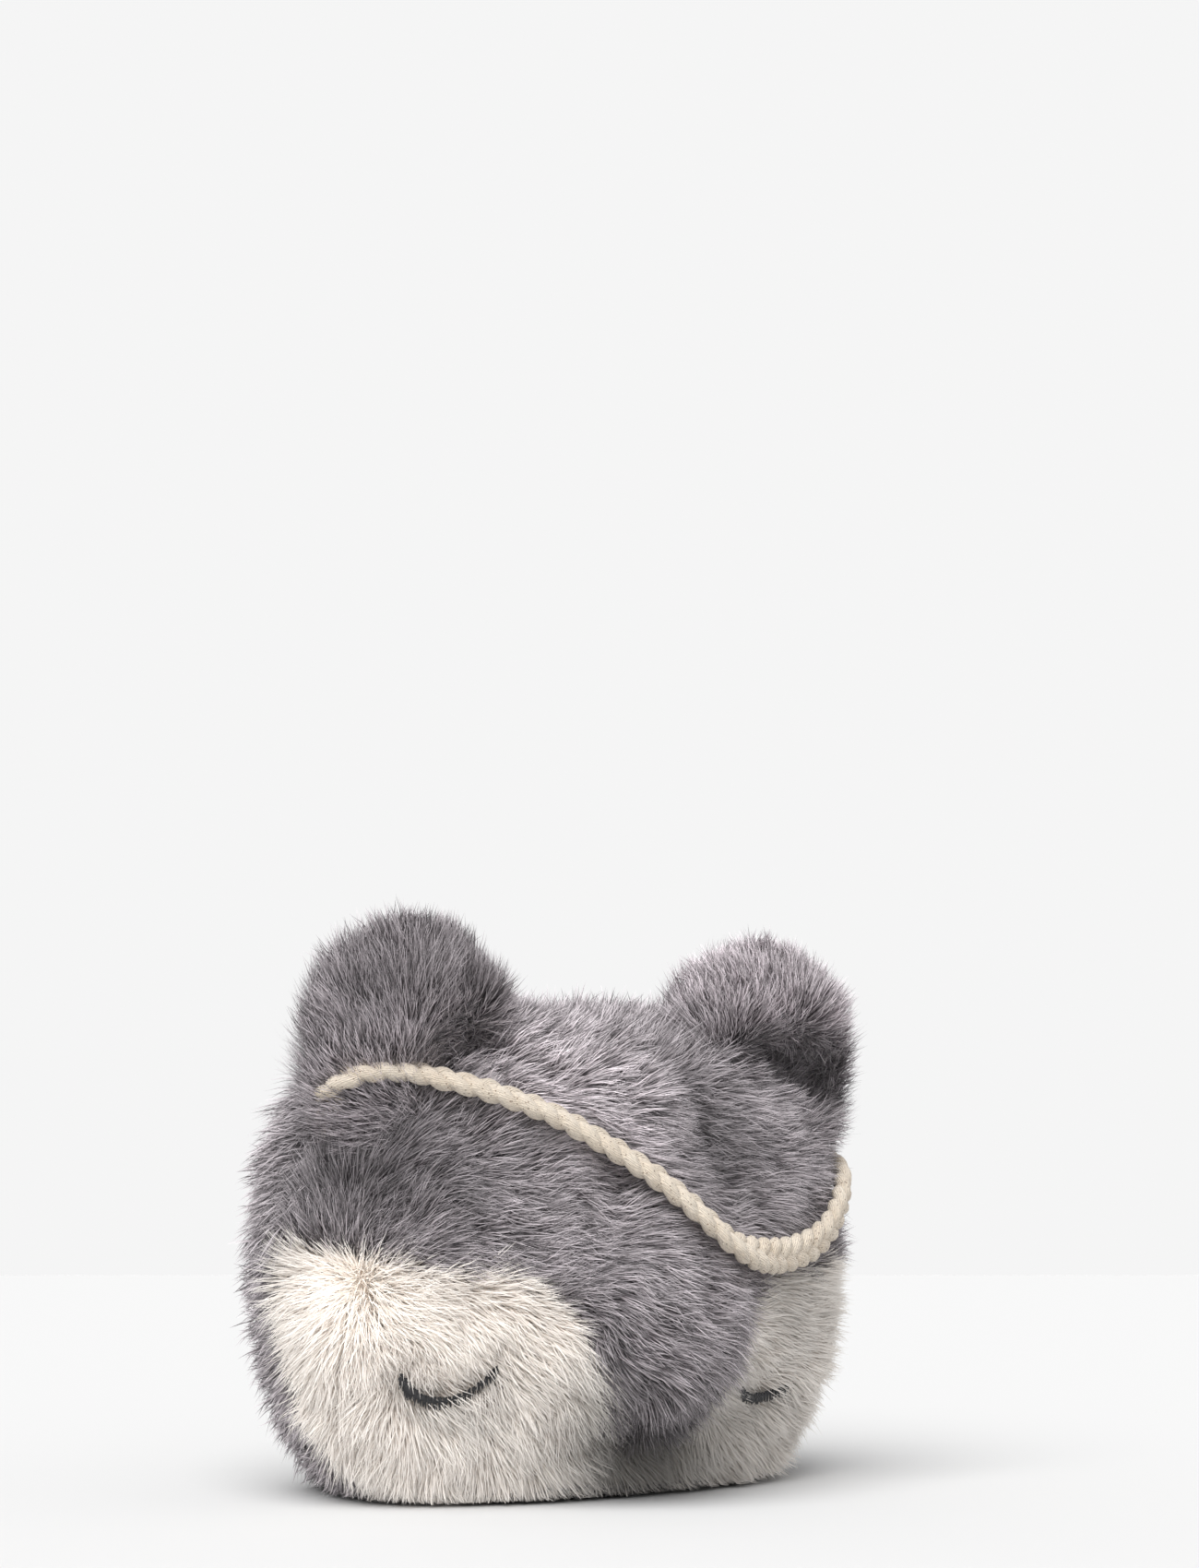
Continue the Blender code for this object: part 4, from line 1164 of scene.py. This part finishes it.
def dressEar(data, setup):
    spots, normals = readPoints(data)
    turned = np.asarray(earPlace(setup).inverted())
    local = spots @ turned[:3, :3].T + turned[:3, 3]
    flow = spots - (np.asarray(setup["centre"]) + np.asarray(bothEars["root"]))
    flow -= normals * (flow * normals).sum(1)[:, None]
    flow /= np.linalg.norm(flow, axis=1)[:, None] + 1e-9
    start, fade = bothEars["frontward"]
    front = np.clip((start - normals[:, 1]) / fade, 0, 1)
    hollow = hollowOf(setup, local[:, 0], local[:, 2]) * front
    below, fade = bothEars["top"]
    top = np.clip((local[:, 2] + below) / fade, 0, 1) * (1 - hollow)
    # painted shade in the hollow, and painted light over the whole ear and on its top
    shade = setup["shade"] * (1 - setup["dark"] * hollow) * (1 + (setup["topPaintedLight"] - 1) * top)
    rear, thinner = bothEars["rear"]
    setPointValues(data, "flow", "FLOAT_VECTOR", flow)
    setPointValues(data, "calm", "FLOAT", 1 - bothEars["hollowCalm"] * hollow)
    setPointValues(data, "reach", "FLOAT", 1 - setup["shorter"] * hollow)
    setPointValues(data, "thick", "FLOAT", np.where(normals[:, 1] < rear, 1.0, thinner))
    setPointValues(data, "shade", "FLOAT", shade)


def makeEars():
    for word, setup in earSetup.items():
        data = earSkin(setup)
        dressEar(data, setup)
        settings = dict(pileSettings["ear"], Seed=setup["seed"])
        stands = (word + "_ear_back", word + "_ear_inner", word + "_ear_wadding")
        makePile(word + "_ear_pile", data, greyPile, settings, stands)


# What takes a fine grain: thread, wadding, brass and moulded teeth.


def addGrain(tree, shader, scale, detail, low, high, bump, distortion=0.0):
    # returns the grain's tone, and puts its height on the surface as a bump of a strength and a depth
    inputs = {"Vector": objectPlace(tree), "Scale": scale, "Detail": detail}
    inputs.update({"Distortion": distortion, "Low": low, "High": high})
    grain = addNode(tree, "ShaderNodeGroup", inputs, node_tree=grainGroup).outputs
    addBump(tree, shader, grain["Height"], *bump)
    return grain


def tintBase(tree, shader, colour, tone):
    tree.links.new(vectorMath(tree, "SCALE", colour, scale=tone), shader.inputs["Base Color"])


def buildThread(name, colour):
    made, tree, shader = newMaterial(name, {"Roughness": 0.6, "Sheen Weight": 0.2})
    grain = addGrain(tree, shader, 900.0, 3.0, 0.6, 1.6, (0.4, 0.0002))
    tintBase(tree, shader, colour, grain["Tone"])
    return made


def buildFilling():
    made, tree, shader = newMaterial("wadding", {"Roughness": 0.95})
    grain = addGrain(tree, shader, 420.0, 6.0, 0.18, 0.34, (0.8, 0.001), distortion=1.5)
    tree.links.new(grain["Tone"], shader.inputs["Base Color"])
    return made


def wornMaterial(name, colour, roughness, metallic):
    made, tree, shader = newMaterial(name, {"Metallic": metallic})
    grain = addGrain(tree, shader, 650.0, 4.0, 0.75, 1.1, (0.15, 0.0001))
    tintBase(tree, shader, colour, grain["Tone"])
    rough = mapRange(tree, grain["Height"], 0.0, 1.0, roughness - 0.1, roughness + 0.15)
    tree.links.new(rough, shader.inputs["Roughness"])
    return made


def clothMaterial(name, colour, threads):
    made, tree, shader = newMaterial(name, {"Roughness": 0.85})
    inputs = {"Vector": objectPlace(tree), "Threads": threads}
    weave = addNode(tree, "ShaderNodeGroup", inputs, node_tree=wovenGroup).outputs
    tintBase(tree, shader, colour, weave["PaintedShade"])
    addBump(tree, shader, weave["Height"], 0.3, 0.0003)
    return made


cottonSetup = {
    "dull": (0.74, 0.61, 0.47),
    "pale": (0.98, 0.89, 0.765),
    "fleck": (0.30, 0.20, 0.13),
    "fibreSlant": 0.35,
    "fleckSize": (0.08, 0.26),
}


def buildCotton(setup):
    made, tree, shader = newMaterial(
        "plaitedCotton", {"Roughness": 0.88, "Sheen Weight": 0.3, "Specular IOR Level": 0.2}
    )
    uv = addNode(tree, "ShaderNodeUVMap", uv_map="UVMap").outputs[0]
    inputs = {"Vector": uv, "Scale": (1.0, 9.0, 1.0), "Rotation": (0, 0, setup["fibreSlant"])}
    stretched = addNode(tree, "ShaderNodeMapping", inputs).outputs[0]
    fibre = noiseOf(tree, stretched, 9.0, 4.0)
    inputs = {"Vector": stretched, "Scale": 2.2, "Distortion": 1.5, "Detail": 2.0}
    yarn = addNode(tree, "ShaderNodeTexWave", inputs).outputs["Fac"]
    place = objectPlace(tree)
    fleck = addNode(tree, "ShaderNodeTexVoronoi", {"Vector": place, "Scale": 720.0}).outputs["Distance"]
    patches = noiseOf(tree, place, 160.0, 3.0)
    colour = mixColours(tree, patches, rgba(setup["dull"]), rgba(setup["pale"]))
    # painted shade in the grooves between fibres: the colour is darker where the fibre is low
    depth = mapRange(tree, fibre, 0.25, 0.6, 0.70, 1.12)
    colour = mixColours(tree, 1.0, colour, depth, "MULTIPLY")
    clean = mapRange(tree, fleck, *setup["fleckSize"])
    colour = mixColours(tree, clean, rgba(setup["fleck"]), colour)
    tree.links.new(colour, shader.inputs["Base Color"])
    height = plainMath(tree, "ADD", fibre, plainMath(tree, "MULTIPLY", yarn, 0.6))
    addBump(tree, shader, height, 0.9, 0.0006)
    return made


# Closed eyes: a stitched line with short lashes.

eyeSetup = {
    "thread": (0.012, 0.012, 0.014),
    "stitches": 66,
    "radius": 0.00045,
    "taper": 0.30,
    "length": 0.0034,
    "lengths": (0.75, 0.5),  # the shortest share, and how much more at random
    "thickLengths": (0.70, 0.35),
    "lineStep": 0.0004,
    "lineRadii": (1.3, 1.1),
    "lineStitch": 0.0012,
    "lineEnd": 0.98,
    "gap": (0.66, 0.72),  # where the line breaks off
    "thin": 0.60,
    "heavyReach": 0.35,
    "fan": (0.5, 0.4),  # how the lashes fan out, and where they hang straight
    "scatter": 0.12,
    "outward": 0.45,
    "rooted": 0.15,
    "seed": 5,
    # each eye: depths at its ends, where it is heaviest, and how much heavier
    "left": ((-0.0016, 0.0002), 0.1, 1.25),
    "right": ((-0.0008, -0.0010), 0.2, 0.22),
}


def addCone(whole, spot, way, radii, length, segments):
    turned = Vector((0, 0, 1)).rotation_difference(way).to_matrix().to_4x4()
    bmesh.ops.create_cone(
        whole,
        cap_ends=True,
        segments=segments,
        radius1=radii[0],
        radius2=radii[1],
        depth=length,
        matrix=Matrix.Translation(spot) @ turned,
    )


def makeLashes(word, setup):
    ends, heavyEnd, weight = setup[word]
    arc = eyeArcs[word]
    depths = np.linspace(*ends, len(arc))
    stops = [headPoint(*angles, sunk) for angles, sunk in zip(arc, depths)]
    line = smoothRoute(stops, Vector(), setup["lineStep"])
    whole = bmesh.new()
    rng = np.random.default_rng(setup["seed"])
    count, last = setup["stitches"], len(line) - 1
    fan, straight = setup["fan"]
    shortest, extra = setup["lengths"]
    thinLength, thickLength = setup["thickLengths"]
    first, second = setup["lineRadii"]
    for number in range(count):
        share = number / (count - 1)
        spot = line[round(share * last)]
        outward = (spot - headShape["centre"]).normalized()
        thick = setup["thin"] + weight * max(0.0, 1 - abs(share - heavyEnd) / setup["heavyReach"])
        lean = Vector((fan * (share - straight) + rng.normal(0, setup["scatter"]), 0, -1.0))
        lean = (lean - outward * (lean.dot(outward) - setup["outward"])).normalized()
        length = setup["length"] * (shortest + extra * rng.random()) * (thinLength + thickLength * thick)
        radius = setup["radius"] * thick
        radii = (radius, setup["radius"] * setup["taper"])
        addCone(whole, spot + lean * length * setup["rooted"], lean, radii, length, 6)
        if share < setup["lineEnd"] and not setup["gap"][0] < share < setup["gap"][1]:
            ahead = (line[min(round(share * last) + 3, last)] - spot).normalized()
            addCone(whole, spot, ahead, (radius * first, radius * second), setup["lineStitch"], 8)
    name = word + "_eye_stitches"
    made = makePiece(name, whole, buildThread(name + "_thread", setup["thread"]))
    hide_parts(word + "_eye_lashes")
    print("eye made:", word)


# Finishes for the zip and the inside.

finishSetup = {
    # colour, then roughness and metal for what is hard, or threads for what is woven
    "brass": ((0.62, 0.50, 0.30), 0.34, 1.0),
    "teeth": ((0.30, 0.30, 0.31), 0.42, 0.0),
    "tape": ((0.05, 0.05, 0.056), 5200.0),
    "lining": ((0.20, 0.19, 0.21), 3600.0),
}


def dressNodes(setup):
    brass = wornMaterial("agedBrass", *setup["brass"])
    finishes = {
        "zip_slider": brass,
        "zip_pull": brass,
        "zip_stop": brass,
        "zip_teeth": wornMaterial("zipTeeth", *setup["teeth"]),
        "zip_tape": clothMaterial("zipTape", *setup["tape"]),
        "pouch_lining": clothMaterial("liningCloth", *setup["lining"]),
        "face_wadding": buildFilling(),
    }
    for name, node in nodes.items():
        for start, material in finishes.items():
            if name.startswith(start):
                for place in node.material_slots:
                    place.material = material
    print("zip, lining and wadding finished")


# Studio: a pale floor, a lit backdrop behind it, one soft key light and an even sky.

studioSetup = {
    "sky": 0.50,
    "backdrop": 0.914,
    "backdropHalf": 2.6,
    "backdropPlace": (0, 3.0, 1.0),
    "floor": (0.716, 0.716, 0.716),
    "floorHalf": 8.0,
    "floorHeight": -0.0003,
    "key": 3.1,
    "keyAngle": 54.0,
    "keyFrom": Vector((-0.420, -0.370, 0.830)),
}


def makeSheet(name, size, material, matrix):
    mesh = bmesh.new()
    bmesh.ops.create_grid(mesh, x_segments=1, y_segments=1, size=size, matrix=matrix)
    data = meshFrom(mesh, name)
    data.materials.append(material)
    made = addObject(name, data)
    return made


def makeStudio(setup):
    values = {"Roughness": 0.95, "Base Color": rgba(setup["floor"]), "Specular IOR Level": 0.0}
    paper = newMaterial("studioPaper", values)[0]
    makeSheet("studioFloor", setup["floorHalf"], paper, Matrix.Translation((0, 0, setup["floorHeight"])))
    values = {
        "Roughness": 1.0,
        "Base Color": rgba((0.0, 0.0, 0.0)),
        "Specular IOR Level": 0.0,
        "Emission Color": rgba((1.0, 1.0, 1.0)),
        "Emission Strength": setup["backdrop"],
    }
    backing = newMaterial("studioBackdrop", values)[0]
    turned = Matrix.Rotation(math.radians(cameraSetup["azimuth"]), 4, "Z")
    upright = Matrix.Translation(setup["backdropPlace"]) @ Matrix.Rotation(math.pi / 2, 4, "X")
    backdrop = makeSheet("studioBackdrop", setup["backdropHalf"], backing, turned @ upright)
    backdrop.visible_diffuse = backdrop.visible_shadow = False
    world = bpy.data.worlds.new("studioSky")
    world.use_nodes = True
    sky = world.node_tree.nodes["Background"]
    sky.inputs[0].default_value = rgba((1.0, 1.0, 1.0))
    sky.inputs[1].default_value = setup["sky"]
    bpy.context.scene.world = world
    sun = bpy.data.lights.new("keyLight", "SUN")
    sun.energy = setup["key"]
    sun.angle = math.radians(setup["keyAngle"])
    lamp = addObject("keyLight", sun)
    lamp.rotation_euler = setup["keyFrom"].to_track_quat("Z", "Y").to_euler()
    bpy.context.scene.view_settings.view_transform = "Standard"
    print("studio lit")


strapLine = makeStrap(strapSetup, buildCotton(cottonSetup))
dressNodes(finishSetup)
makeHeadPiles(strapLine)
makeBasePile()
makeEars()
for word in ("left", "right"):
    makeLashes(word, eyeSetup)
makeStudio(studioSetup)
